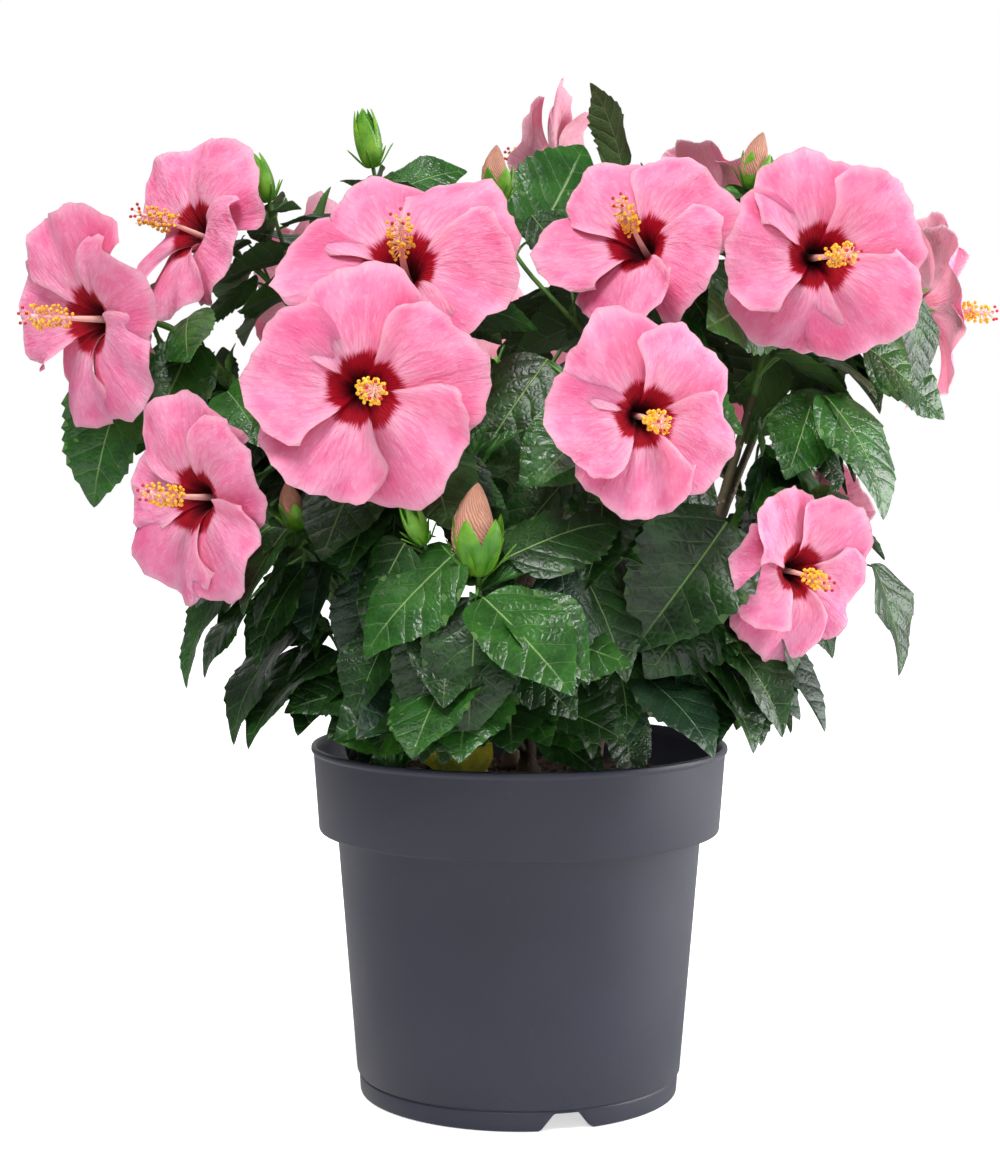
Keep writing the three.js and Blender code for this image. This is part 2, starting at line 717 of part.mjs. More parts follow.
/** Builds the whole shrub in its pot. */
function shrub() {
  const group = new THREE.Group();
  const space = new Space();
  const pot = potSolid();
  group.add(named("pot", pot, MATERIALS.pot));
  group.add(named("compost", compostSolid(), MATERIALS.compost));
  const potFull = new THREE.CylinderGeometry(POT.rimRadius + 1, POT.rimRadius + 1, POT.height + 1, 24);
  space.add(solid(potFull.rotateX(Math.PI / 2).translate(0, 0, POT.height / 2 - 14)), "pot");
  space.add(pot, "pot");

  const stems = new Map();
  const drawn = [];
  for (const plan of STEMS) {
    const stem = stemOf(plan);
    stems.set(plan.name, stem);
    const made = stemSolid(stem);
    group.add(named(plan.name, made, MATERIALS.bark));
    space.add(made, plan.name);
    drawn.push({ owner: plan.name, points: along(stem.curve, 0, 1, 16) });
  }

  const grown = SHOOTS.map((shoot, number) => {
    const stem = stems.get(shoot.stem);
    const others = drawn.filter(({ owner }) => owner !== shoot.stem).flatMap(({ points }) => points);
    const path = pathOf(shoot, stem, others);
    drawn.push({ owner: shoot.name, points: along(path, shoot.fork < 1 ? 0.05 : 0.02, 1, 26) });
    const gap = CLEAR / path.getLength();
    const from = shoot.fork < 1 ? 0 : gap;
    const bough = { ...BOUGH, curve: path, from, to: BOUGH.endsAt - gap, radii: [BOUGH.footRadius, BOUGH.endRadius] };
    let made = limb(bough);
    if (shoot.fork < 1) made = made.subtract(stemSolid(stem, CLEAR));
    const name = shoot.name.startsWith("shoot_") ? shoot.name.replace("shoot", "bough") : `bough_${shoot.name}`;
    group.add(named(name, made, MATERIALS.bark));
    space.add(made, name);
    return { shoot, number, path, lines: linesOf(shoot, path), parts: [] };
  });

  // Stems, twigs and organs come first, so that leaves give way to them.
  for (const { shoot, lines, parts } of grown) {
    lines.forEach((line, i) => {
      const organ = shoot.organs[i];
      parts.push(limb(line));
      if (organ.kind === "bloom") parts.push(...bloomSolid(organ));
      if (organ.kind === "bud") parts.push(budSolid(organ));
    });
    for (const part of parts) space.add(part, shoot.name);
  }

  /** Fuses a leaf to its shoot where it would touch nothing, and says whether it did. */
  const fuseLeaf = ({ shoot, parts }, node, leaf) => {
    if (space.touches(leafSolid(leaf, null, CLEAR), () => false)) return false;
    if (space.touches(stalkSolid(leaf, node), (owner) => owner === shoot.name)) return false;
    const made = leafSolid(leaf, node);
    space.add(made, shoot.name);
    parts.push(made);
    return true;
  };
  for (const one of grown) {
    const nodes = one.lines.flatMap((line) => Array.from({ length: 12 }, (_, i) => inside(line, 0.04 + 0.08 * i)));
    for (const [x, y, z, azimuth, rise, length, roll = 0] of one.shoot.posed) {
      const base = point([x, y, z]);
      nodes.sort((a, b) => a.distanceTo(base) - b.distanceTo(base));
      fuseLeaf(one, nodes[0], { base, azimuth, rise, length, roll });
    }
  }
  for (const one of grown) {
    const middle = one.path.getPoint(lerp(BOUGH.endsAt, 1, 0.55));
    const hasRoom = ({ base, azimuth, rise, length }) =>
      [base, base.clone().addScaledVector(heading(azimuth, rise), length)].every(
        (end) => end.distanceTo(middle) < SHOOT.room,
      );
    for (const { node, choices } of dealt(one.lines, one.shoot.leaves, draws(100 + one.number))) {
      choices.some((leaf) => hasRoom(leaf) && fuseLeaf(one, node, leaf));
    }
  }
  for (const { shoot, parts } of grown) {
    const fused = wasm.Manifold.union(parts).simplify(SLIVER);
    group.add(named(shoot.name, fused, MATERIALS.foliage));
  }
  return group;
}

export default shrub();
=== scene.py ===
"""A pink hibiscus shrub in flower, in a round nursery pot.

Plans are in millimetres, as the part's own source gives them: the origin is the middle of the pot's
underside, +Z is up, and the front is -Y. An azimuth of 0 looks out to the front and a positive one turns
towards +X; a rise is the angle above the horizontal. Meshes are written in metres.
"""

import logging
import math
from dataclasses import dataclass, field, replace
from enum import Enum
from typing import Callable, Iterator, Sequence

import bpy
import numpy as np
import numpy.typing as npt
from mathutils import Matrix, Vector


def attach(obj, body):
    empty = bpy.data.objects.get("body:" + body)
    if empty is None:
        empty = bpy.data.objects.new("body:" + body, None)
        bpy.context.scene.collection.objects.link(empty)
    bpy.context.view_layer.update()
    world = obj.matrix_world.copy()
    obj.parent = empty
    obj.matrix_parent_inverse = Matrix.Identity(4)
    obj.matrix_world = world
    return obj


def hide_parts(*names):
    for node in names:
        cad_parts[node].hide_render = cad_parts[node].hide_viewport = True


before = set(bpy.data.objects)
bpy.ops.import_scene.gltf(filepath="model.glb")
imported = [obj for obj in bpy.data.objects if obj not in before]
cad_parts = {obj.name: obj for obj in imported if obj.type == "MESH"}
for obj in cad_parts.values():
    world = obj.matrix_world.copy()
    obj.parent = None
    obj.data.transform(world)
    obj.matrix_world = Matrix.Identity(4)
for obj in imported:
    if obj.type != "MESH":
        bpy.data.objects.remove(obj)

Array = npt.NDArray[np.float64]
Whole = npt.NDArray[np.int64]
Flags = npt.NDArray[np.bool_]
Place = tuple[float, float, float]
Way = tuple[float, float]
Socket = bpy.types.NodeSocket

LOG = logging.getLogger("hibiscus")
METRES = 0.001
TURN = 2 * math.pi
GOLDEN = 137.5  # degrees from one leaf to the next round a twig
UP = np.array([0.0, 0.0, 1.0])
HEART = np.array([0.0, 0.0, 300.0])  # the crown's leaves turn away from this point
PATTERN = "OFBake"  # name of the map that holds each corner's place on its piece's pattern
MARGIN = 0.01  # what the pattern keeps clear of its border


# ---------------------------------------------------------------- directions, blends and draws


def unit(vectors: Array) -> Array:
    """Scales vectors to length one.

    Args:
        vectors: Vectors in the last axis.

    Returns:
        The unit vectors.
    """
    return vectors / np.maximum(np.linalg.norm(vectors, axis=-1, keepdims=True), 1e-12)


def heading(azimuth: float | Array, rise: float | Array = 0.0) -> Array:
    """The unit vector (sin a cos r, -cos a cos r, sin r) of an azimuth a and a rise r in degrees.

    Args:
        azimuth: Degrees from the front towards +X.
        rise: Degrees above the horizontal.

    Returns:
        The direction, with one row for each azimuth if there are several.
    """
    a, r = np.radians(azimuth), np.radians(rise)
    return np.stack(np.broadcast_arrays(np.sin(a) * np.cos(r), -np.cos(a) * np.cos(r), np.sin(r)), axis=-1)


def across(axis: Array) -> tuple[Array, Array]:
    """Two unit vectors square to an axis: the first level, the second as near to upright as it can be.

    Args:
        axis: Unit vector.

    Returns:
        The level and the upright direction.
    """
    level = np.array([1.0, 0.0, 0.0]) if abs(axis[2]) > 0.999 else unit(np.cross(axis, UP))
    return level, np.cross(level, axis)


def around(count: int) -> Array:
    """Angles spread evenly round a turn."""
    return np.linspace(0, TURN, count, endpoint=False)


def circle(count: int) -> Array:
    """Places spread evenly round a level circle of radius 1."""
    angles = around(count)
    return np.stack([np.cos(angles), np.sin(angles), 0 * angles], axis=-1)


def lattice(rows: Array, columns: Array) -> tuple[Array, Array]:
    """The row's and the column's value at each point of a grid."""
    return np.meshgrid(rows, columns, indexing="ij")


def placed(name: str, data: bpy.types.ID) -> bpy.types.Object:
    """Puts a new object in the scene.

    Args:
        name: The object's name.
        data: Its mesh, lamp or camera.

    Returns:
        The object.
    """
    thing = bpy.data.objects.new(name, data)
    bpy.context.scene.collection.objects.link(thing)
    return thing


def ramp(low: float, high: float, values: Array) -> Array:
    """The smooth step 3x^2 - 2x^3, with x running from 0 at low to 1 at high.

    Args:
        low: Where the step starts.
        high: Where it ends.
        values: Where it is wanted.

    Returns:
        The step's values, from 0 to 1.
    """
    x = np.clip((values - low) / (high - low), 0.0, 1.0)
    return x * x * (3.0 - 2.0 * x)


def mix(start: float, end: float, share: float | Array) -> float | Array:
    """The value at a share of the way from start to end."""
    return start + (end - start) * share


def rumple(points: Array, wavelength: float, seed: int, waves: int = 7) -> Array:
    """Smooth noise of about -1 to 1: the mean of sines in random directions, each near one wavelength.

    Args:
        points: Places, in the last axis.
        wavelength: The waves' length, in the points' unit.
        seed: Seed of the directions.
        waves: How many sines are summed.

    Returns:
        One value for each point.
    """
    dice = np.random.default_rng(seed)
    turns = unit(dice.normal(size=(waves, 3))) * dice.uniform(0.7, 1.6, (waves, 1)) * TURN / wavelength
    phases = dice.uniform(0, TURN, waves)
    return np.sin(points @ turns.T + phases).sum(axis=-1) / math.sqrt(waves)


class Draws:
    """The growth rule's repeatable draws between 0 and 1."""

    def __init__(self, seed: int) -> None:
        """Starts the run of draws at a seed."""
        self.state = seed

    def next(self) -> float:
        """The next draw."""
        self.state = (self.state * 1664525 + 1013904223) % 2**32
        return self.state / 2**32


# ---------------------------------------------------------------- meshes from arrays


@dataclass
class Shape:
    """A mesh in the making: points in millimetres, four-sided faces and each face corner's place on the
    pattern. A face that names a point twice in a row is a triangle. An edge between two points of the rim
    is a sharp one."""

    points: Array
    faces: Whole
    corners: Array
    rim: Flags

    @staticmethod
    def joined(shapes: list["Shape"]) -> "Shape":
        """Joins shapes into one, with each one's face indices moved on by the points before it.

        Args:
            shapes: The shapes.

        Returns:
            One shape of them all.
        """
        starts = np.cumsum([0] + [len(shape.points) for shape in shapes[:-1]])
        return Shape(
            np.concatenate([shape.points for shape in shapes]),
            np.concatenate([shape.faces + start for shape, start in zip(shapes, starts)]),
            np.concatenate([shape.corners for shape in shapes]),
            np.concatenate([shape.rim for shape in shapes]),
        )

    @staticmethod
    def repeated(points: Array, faces: Whole, corners: Array, rim: Flags) -> "Shape":
        """One shape of many that have the same faces.

        Args:
            points: Their points, in axes thing, point, xyz.
            faces: The faces of one.
            corners: The places on the pattern of one.
            rim: Which points of one are on a rim.

        Returns:
            One shape of them all.
        """
        count, size, _ = points.shape
        every = (faces + np.arange(count)[:, None, None] * size).reshape(-1, 4)
        return Shape(points.reshape(-1, 3), every, np.tile(corners, (count, 1, 1)), np.tile(rim, count))

    def mesh(self, name: str) -> bpy.types.Mesh:
        """Makes the mesh. Each triangle is first turned so that the point it names twice comes last.

        Args:
            name: The mesh's name.

        Returns:
            The mesh, in metres.
        """
        twice = self.faces == np.roll(self.faces, -1, axis=1)
        first = np.where(twice.any(axis=1), twice.argmax(axis=1) + 2, 0)[:, None]
        order = (first + np.arange(4)) % 4
        keep = np.ones(order.shape, dtype=bool)
        keep[:, 3] = ~twice.any(axis=1)
        loops = np.take_along_axis(self.faces, order, axis=1)[keep]
        places = np.take_along_axis(self.corners, order[..., None], axis=1)[keep]
        starts = np.concatenate([[0], np.cumsum(keep.sum(axis=1))[:-1]])
        mesh = bpy.data.meshes.new(name)
        mesh.vertices.add(len(self.points))
        mesh.vertices.foreach_set("co", (self.points * METRES).astype(np.float32).ravel())
        mesh.loops.add(len(loops))
        mesh.loops.foreach_set("vertex_index", loops.astype(np.int32))
        mesh.polygons.add(len(self.faces))
        mesh.polygons.foreach_set("loop_start", starts.astype(np.int32))
        mesh.update(calc_edges=True)
        mesh.uv_layers.new(name=PATTERN).data.foreach_set("uv", places.astype(np.float32).ravel())
        ends = np.empty(len(mesh.edges) * 2, dtype=np.int32)
        mesh.edges.foreach_get("vertices", ends)
        mesh.shade_smooth()
        mesh.edges.foreach_set("use_edge_sharp", self.rim[ends.reshape(-1, 2)].all(axis=1))
        return mesh

    def piece(self, name: str, material: bpy.types.Material, slot: str = "foliage") -> bpy.types.Object:
        """Makes the object that shows the shape, riding on the root body.

        Args:
            name: The object's name.
            material: Its material.
            slot: The record's material slot. It is not used.

        Returns:
            The object.
        """
        mesh = self.mesh(name)
        mesh.materials.append(material)
        thing = placed(name, mesh)
        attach(thing, "root")
        LOG.info("%s: %d faces", name, len(self.faces))
        return thing


def quads(rows: int, columns: int) -> Whole:
    """The faces of a grid of points numbered row by row: each is a point with its next ones each way.

    Args:
        rows: Rows of points.
        columns: Points in a row.

    Returns:
        Four indices for each face.
    """
    i = np.arange(rows * columns).reshape(rows, columns)
    return np.stack([i[:-1, :-1], i[1:, :-1], i[1:, 1:], i[:-1, 1:]], axis=-1).reshape(-1, 4)


def blades(grids: Array, places: Array, thickness: float) -> Shape:
    """Closed double sheets, one round each grid of points: the grid moved out both ways along its normals
    by half the thickness, but not at the border, where the two sheets share their points.

    Args:
        grids: Grids of points, in axes sheet, row, column, xyz.
        places: Each row and column's place on the pattern, from 0 to 1 each way. The upper sheet shows it in
            the pattern's left half, and the under sheet in its right half.
        thickness: How far apart the two sheets are.

    Returns:
        All the sheets as one shape.
    """
    count, rows, columns, _ = grids.shape
    normals = unit(np.cross(np.gradient(grids, axis=1), np.gradient(grids, axis=2)))
    border = np.ones((rows, columns), dtype=bool)
    border[1:-1, 1:-1] = False
    shift = normals * np.where(border, 0, thickness / 2)[..., None]
    upper = (grids + shift).reshape(count, -1, 3)
    under = (grids - shift)[:, ~border]
    number = np.arange(rows * columns).reshape(rows, columns)
    number[~border] = rows * columns + np.arange(under.shape[1])
    square = quads(rows, columns)
    faces = np.concatenate([square, number.ravel()[square][:, ::-1]])
    flat = (places.reshape(-1, 2) * (1 - 2 * MARGIN) + MARGIN) * [0.5, 1.0]
    corners = np.concatenate([flat[square], (flat + [0.5, 0.0])[square[:, ::-1]]])
    rim = np.concatenate([border.ravel(), np.zeros(under.shape[1], dtype=bool)])
    return Shape.repeated(np.concatenate([upper, under], axis=1), faces, corners, rim)


def tubes(centres: Array, radii: Array, sides: int) -> Shape:
    """Closed tubes: a ring of radius r(side) square to the line of centres at each of them, and flat ends,
    whose triangles meet in the middle.

    Args:
        centres: Lines of centres, in axes tube, station, xyz.
        radii: Radius at each tube and station, or at each tube, station and side.
        sides: Sides of the tubes.

    Returns:
        All the tubes as one shape, with the pattern running along them.
    """
    count, stations, _ = centres.shape
    tangents = unit(np.gradient(centres, axis=1))
    guide = np.eye(3)[np.argmin(np.abs(tangents.mean(axis=1)), axis=-1)][:, None, :]
    level = unit(guide - (guide * tangents).sum(axis=-1, keepdims=True) * tangents)
    upright = np.cross(tangents, level)
    angles = around(sides)[:, None]
    ring = level[:, :, None] * np.cos(angles) + upright[:, :, None] * np.sin(angles)
    spread = np.broadcast_to(radii[..., None] if radii.ndim == 2 else radii, (count, stations, sides))
    walls = (centres[:, :, None] + ring * spread[..., None]).reshape(count, -1, 3)
    points = np.concatenate([centres[:, :1], walls, centres[:, -1:]], axis=1)
    return Shape.repeated(points, *wrapped(stations, sides), np.zeros(points.shape[1], dtype=bool))


def wrapped(rows: int, sides: int) -> tuple[Whole, Array]:
    """The faces that wrap rings of points, numbered ring by ring after a first pole and before a last one.

    Args:
        rows: Rings of points.
        sides: Points in a ring.

    Returns:
        Four indices for each face, and each corner's place on the pattern, from pole to pole and round.
    """
    number = 1 + np.arange(rows * sides).reshape(rows, sides)
    poles = np.zeros((1, sides), dtype=int)
    number = np.concatenate([poles, number, poles + rows * sides + 1])
    number = np.concatenate([number, number[:, :1]], axis=1)
    square = quads(rows + 2, sides + 1)[:, ::-1]
    u, v = np.meshgrid(np.linspace(0, 1, rows + 2), np.linspace(0, 1, sides + 1), indexing="ij")
    places = np.stack([u, v], axis=-1).reshape(-1, 2) * (1 - 2 * MARGIN) + MARGIN
    return number.ravel()[square], places[square]


def turned(profile: Array, segments: int, rise: Callable[[Array, Array], Array] | None = None) -> Shape:
    """A closed profile turned round the upright axis: (r cos a, r sin a, z) for each point (r, z), angle a.

    Args:
        profile: The profile's radii and heights, from a point on the axis, out, and back to one on it.
        segments: Segments of the turn.
        rise: If given, the height that is added, from the profile's point number and the angle.

    Returns:
        The turned shape. The pattern runs round it and along the profile.
    """
    angles = around(segments)
    r, z = profile[1:-1, 0, None], profile[1:-1, 1, None]
    height = z + (0 * angles if rise is None else rise(1 + np.arange(len(r))[:, None], angles[None, :]))
    walls = np.stack([r * np.cos(angles), r * np.sin(angles), height + 0 * angles], axis=-1).reshape(-1, 3)
    poles = np.insert(profile[[0, -1]], 1, 0.0, axis=1)
    points = np.concatenate([poles[:1], walls, poles[1:]])
    return Shape(points, *wrapped(len(r), segments), np.zeros(len(points), dtype=bool))


@dataclass(frozen=True)
class Bend:
    """A cubic curve that leaves and arrives in given directions."""

    knots: Array

    @staticmethod
    def between(start: Array, leaving: Array, end: Array, arriving: Array, reach: float = 0.36) -> "Bend":
        """The curve between two places, with its handles a share of the distance long.

        Args:
            start: Where it starts.
            leaving: Direction in which it leaves.
            end: Where it ends.
            arriving: Direction in which it arrives.
            reach: The handles' share of the distance.

        Returns:
            The curve.
        """
        span = float(np.linalg.norm(end - start)) * reach
        return Bend(np.array([start, start + leaving * span, end - arriving * span, end]))

    def at(self, t: float | Array) -> Array:
        """The places (1-t)^3 a + 3(1-t)^2 t b + 3(1-t) t^2 c + t^3 d.

        Args:
            t: Parameters from 0 to 1.

        Returns:
            A place for each.
        """
        t = np.asarray(t, dtype=float)
        weights = np.stack([(1 - t) ** 3, 3 * (1 - t) ** 2 * t, 3 * (1 - t) * t**2, t**3], axis=-1)
        return weights @ self.knots

    def along(self, t: float) -> Array:
        """The direction at a parameter, from the curve's own derivative."""
        a, b, c = np.diff(self.knots, axis=0)
        return unit((1 - t) ** 2 * a + 2 * (1 - t) * t * b + t**2 * c)


# ---------------------------------------------------------------- the plant's plan


class Organ(Enum):
    """What a twig ends in."""

    BLOOM = "bloom"
    BUD = "bud"
    TIP = "tip"


@dataclass(frozen=True)
class End:
    """The end of a twig: a bloom by its middle and width, a bud by its foot and length, or a leafy tip."""

    organ: Organ
    at: Place
    faces: Way
    size: float = 0.0
    spin: float = 0.0
    shut: bool = False

    @property
    def axis(self) -> Array:
        """The direction it faces."""
        return heading(*self.faces)

    @property
    def seat(self) -> Array:
        """Where its own stem ends: a bloom's throat lies behind its face."""
        behind = 0.235 * self.size if self.organ is Organ.BLOOM else 0.0
        return np.array(self.at) - self.axis * behind

    def spots(self, reach: Array, angle: Array, depth: Array) -> Array:
        """Places round the axis: seat + reach (cos a level + sin a upright) + depth axis.

        Args:
            reach: Distances from the axis.
            angle: Angles a round it.
            depth: Distances along it.

        Returns:
            The places.
        """
        level, upright = across(self.axis)
        aside = self.seat + level * (reach * np.cos(angle))[..., None]
        return aside + upright * (reach * np.sin(angle))[..., None] + self.axis * depth[..., None]


def bloom(at: Place, faces: Way, wide: float, spin: float = 0.0) -> End:
    """A bloom by its middle, facing, width and the spin of its petals."""
    return End(Organ.BLOOM, at, faces, wide, spin)


def bud(at: Place, faces: Way, long: float, shut: bool = False) -> End:
    """A bud by its foot, facing and length, and whether it is still shut in its calyx."""
    return End(Organ.BUD, at, faces, long, shut=shut)


def tip(at: Place, faces: Way) -> End:
    """A leafy tip."""
    return End(Organ.TIP, at, faces)


@dataclass(frozen=True)
class Shoot:
    """One shoot: the stem and the share of it that its bough leaves, its ends, how many leaves the rule deals
    it, and posed leaves as the place of the base, azimuth, rise, length and roll."""

    name: str
    stem: str
    fork: float
    ends: tuple[End, ...]
    leaves: int
    posed: tuple[tuple[float, ...], ...] = ()


# azimuth and reach of the foot, azimuth, reach and height of the top, and both radii
STEMS: dict[str, tuple[Way, Place, Way]] = {
    "stem_left": ((-75, 26), (-66, 66, 262), (5.2, 3.7)),
    "stem_front": ((12, 22), (-4, 56, 250), (4.8, 3.5)),
    "stem_right": ((68, 38), (66, 98, 284), (5.8, 4.1)),
    "stem_back": ((-175, 26), (176, 60, 268), (5.2, 3.7)),
}

SHOOTS: tuple[Shoot, ...] = (
    Shoot("shoot_far_left", "stem_left", 0.86, (bloom((-233, -38, 424), (-49, -2), 120, -5),), 9,
        ((-214, -10, 394, -66, -68, 72), (-180, -6, 412, -30, -60, 66, -60))),
    Shoot("shoot_upper_left", "stem_left", 1, (bloom((-184, 8, 477), (-50, 22), 108, -30),
        bud((-139, 12, 492), (-60, 70), 27, True), tip((-110, 26, 468), (60, 40))), 10,
        ((-130, 14, 478, 66, 14, 40),)),
    Shoot("shoot_top_left", "stem_left", 0.7, (bloom((-62, -88, 452), (-12, 30), 132, -30),
        bud((-80, -14, 508), (-40, 75), 31, True)), 8, ((-70, -10, 494, 88, 24, 42),)),
    Shoot("shoot_front_left", "stem_front", 0.84, (bloom((-75, -168, 384), (4, -3), 118, -3),
        tip((-26, -112, 346), (20, 20))), 10),
    Shoot("shoot_low_left", "stem_left", 0.52, (bloom((-165, -118, 331), (-38, -2), 106, -5),
        bud((-112, -106, 316), (-30, 68), 26)), 8, ((-153, -84, 284, -68, -58, 54),
        (-110, -95, 296, -54, -48, 56), (-140, -76, 278, -72, -46, 46))),
    Shoot("shoot_top_middle", "stem_front", 1, (bloom((60, -72, 464), (-24, 26), 104, -28),
        bud((-12, -24, 488), (-10, 80), 30)), 8, ((6, 10, 468, 106, 58, 68),)),
    Shoot("shoot_front_right", "stem_front", 0.68, (bloom((60, -176, 372), (15, -2), 98, -25),), 7,
        ((14, -92, 402, -58, -50, 64),)),
    Shoot("shoot_upper_right", "stem_right", 1, (bloom((152, -94, 453), (8, -4), 106, -11),
        bud((126, 4, 498), (70, 78), 31)), 9),
    Shoot("shoot_far_right", "stem_right", 0.84, (bloom((240, 56, 436), (98, 2), 106, 10),), 9,
        ((186, -14, 412, 100, -34, 68, 70), (208, -30, 440, 20, -70, 56, 45))),
    Shoot("shoot_low_right", "stem_right", 0.5, (bloom((142, -112, 295), (31, 0), 90, -20),), 7,
        ((186, -54, 296, 60, -66, 64, 50),)),
    Shoot("shoot_top_back", "stem_back", 1, (bloom((14, 84, 520), (-112, 14), 92),), 9,
        ((58, 58, 514, -128, 78, 52),)),
    Shoot("shoot_back_right_top", "stem_back", 0.86, (bloom((116, 66, 498), (140, 40), 84),), 8),
    Shoot("shoot_front_middle", "stem_front", 0.5, (bud((-20, -160, 297), (0, 82), 44),
        bud((-47, -148, 311), (-45, 60), 24, True), tip((34, -112, 306), (40, 20))), 9,
        ((-21, -168, 286, -5, -70, 66), (-6, -158, 304, 108, 24, 64), (-30, -158, 307, -76, -42, 68),
        (-4, -148, 268, 86, -8, 60), (8, -116, 230, 58, -36, 52), (-8, -126, 240, -50, -58, 50))),
    Shoot("skirt_front", "stem_front", 0.2, (tip((-16, -112, 244), (-12, 10)), tip((-66, -92, 256),
        (-50, 20)), tip((46, -92, 264), (40, 20))), 14, ((-63, -108, 232, 114, -50, 50),
        (-4, -134, 256, 70, -40, 46))),
    Shoot("skirt_right", "stem_right", 0.2, (tip((108, -92, 262), (48, 12)), tip((72, -74, 316),
        (20, 40))), 11, ((104, -112, 320, -62, -52, 78), (64, -100, 240, 40, -52, 58),
        (98, -94, 258, 64, -58, 54), (122, -60, 258, 72, -56, 62))),
    Shoot("shoot_right", "stem_right", 0.68, (tip((158, -48, 372), (72, 10)), tip((150, -84, 330),
        (30, 10))), 11, ((158, -66, 384, 56, -46, 80, 45), (148, -30, 338, 66, -34, 64))),
    Shoot("skirt_left", "stem_left", 0.22, (tip((-104, -72, 262), (-58, 8)), tip((-66, -96, 318),
        (-20, 40))), 12, ((-116, -62, 264, -60, -54, 70), (-66, -112, 262, -54, -58, 44))),
    Shoot("shoot_left", "stem_left", 0.36, (tip((-158, -8, 388), (-80, 26)), tip((-112, -42, 372),
        (-40, 30))), 12, ((-156, -40, 386, 36, -28, 48),)),
    Shoot("shoot_back_left", "stem_back", 0.72, (bloom((-122, 122, 446), (-140, 14), 112),), 9),
    Shoot("shoot_back_middle", "stem_back", 0.58, (bloom((-18, 182, 402), (-176, 2), 116),
        bud((38, 120, 452), (160, 74), 32)), 9),
    Shoot("shoot_back_right", "stem_back", 0.44, (bloom((114, 150, 410), (142, 8), 104),), 9),
    Shoot("shoot_back_low_left", "stem_back", 0.3, (bloom((-168, 98, 332), (-120, -2), 98),
        bud((-86, 150, 300), (-150, 66), 28, True)), 10),
    Shoot("shoot_back_low_right", "stem_right", 0.34, (bloom((172, 92, 318), (120, 0), 100),), 10),
    Shoot("skirt_back", "stem_back", 0.14, (bloom((44, 184, 296), (168, -4), 92),), 12),
)

# what the shoots end in, all of it and by kind
ENDS = [end for shoot in SHOOTS for end in shoot.ends]
BLOOMS = [end for end in ENDS if end.organ is Organ.BLOOM]
BUDS = [end for end in ENDS if end.organ is Organ.BUD]


# ---------------------------------------------------------------- growing


@dataclass(frozen=True)
class Line:
    """A limb's curve between two of its parameters, with its radius at each end."""

    bend: Bend
    start: float
    end: float
    radii: Way

    def at(self, share: float | Array) -> Array:
        """The place at a share of the limb."""
        return self.bend.at(mix(self.start, self.end, share))

    def radius(self, share: Array) -> Array:
        """The radius at a share of the limb."""
        return mix(*self.radii, share)


@dataclass(frozen=True)
class Leaf:
    """One leaf: where its stalk leaves the twig, the place of its base, and how the blade is turned."""

    node: Array
    base: Array
    azimuth: float
    rise: float
    length: float
    roll: float

    @staticmethod
    def at(node: Place, base: Place, *turns: float) -> "Leaf":
        """A leaf by its node, its base, and its azimuth, rise, length and roll."""
        return Leaf(np.array(node, dtype=float), np.array(base, dtype=float), *turns)

    @property
    def axis(self) -> Array:
        """The direction from the base to the tip."""
        return heading(self.azimuth, self.rise)

    @property
    def face(self) -> Array:
        """The direction the upper side faces.

        Returns:
            A unit vector up and out of the crown, rolled round the midrib.
        """
        out = self.base - HEART
        out[2] = 0
        face = unit(out) * 0.6 + UP * 0.8
        face = unit(face - face @ self.axis * self.axis)
        roll = math.radians(self.roll)
        return face * math.cos(roll) + np.cross(self.axis, face) * math.sin(roll)

    def rested(self, level: float) -> "Leaf":
        """The blade raised, to no more than 8 degrees above flat, so that its tip ends above a level."""
        drop = min(max((self.base[2] - level) / self.length - 0.18, -0.14), 1)
        return replace(self, rise=max(self.rise, -math.degrees(math.asin(drop))))

    def sample(self) -> Array:
        """The blade as a few points.

        Returns:
            Points spread over it, by which it is tried for room.
        """
        side = np.cross(self.axis, self.face)
        u = np.array([0.12, 0.35, 0.35, 0.35, 0.6, 0.6, 0.6, 0.85, 1.0])
        v = np.array([0.0, -0.8, 0.0, 0.8, -0.7, 0.0, 0.7, 0.0, 0.0]) * 0.33
        droop = 0.16 * u * u
        way = u[:, None] * self.axis + v[:, None] * side - droop[:, None] * self.face
        return self.base + self.length * way


@dataclass
class Room:
    """The places that are taken, each with the radius it fills."""

    points: Array = field(default_factory=lambda: np.zeros((0, 3)))
    reach: Array = field(default_factory=lambda: np.zeros(0))

    def take(self, points: Array, radius: float) -> None:
        """Marks points as taken."""
        self.points = np.concatenate([self.points, points])
        self.reach = np.concatenate([self.reach, np.full(len(points), radius)])

    def fits(self, points: Array, radius: float) -> bool:
        """Whether balls round some points stay clear of all that is taken.

        Args:
            points: The balls' middles.
            radius: Their radius.

        Returns:
            True if none meets a taken ball.
        """
        gaps = np.linalg.norm(self.points[None] - points[:, None], axis=-1) - self.reach[None]
        return bool(gaps.min(initial=1e9) > radius)


# posed leaves that turn once all have found their room: rise, length and roll, by the place of the base
TURNED: dict[Place, Place] = {
    (-214, -10, 394): (-68, 72, -60),
    (-70, -10, 494): (24, 42, 45),
    (6, 10, 468): (58, 68, 165),
    (186, -14, 412): (-34, 62, 40),
    (208, -30, 440): (-70, 52, 15),
    (186, -54, 296): (-66, 60, 8),
    (158, -66, 384): (-46, 70, 12),
    (-63, -108, 232): (-30, 50, 0),
}

# low leaves over the rim: node, base, azimuth, rise, length and roll, as in the next ones
LOW_LEAVES = (
    Leaf.at((-66, -91, 253), (-66, -86, 238), -8, -34, 48, 10),
    Leaf.at((-100, -68, 260), (-90, -68, 240), -26, -14, 46, -10),
    Leaf.at((-66, -91, 253), (-80, -90, 232), -60, -8, 42, -25),
    Leaf.at((-66, -91, 253), (-54, -98, 218), -78, -14, 42, -30),
)
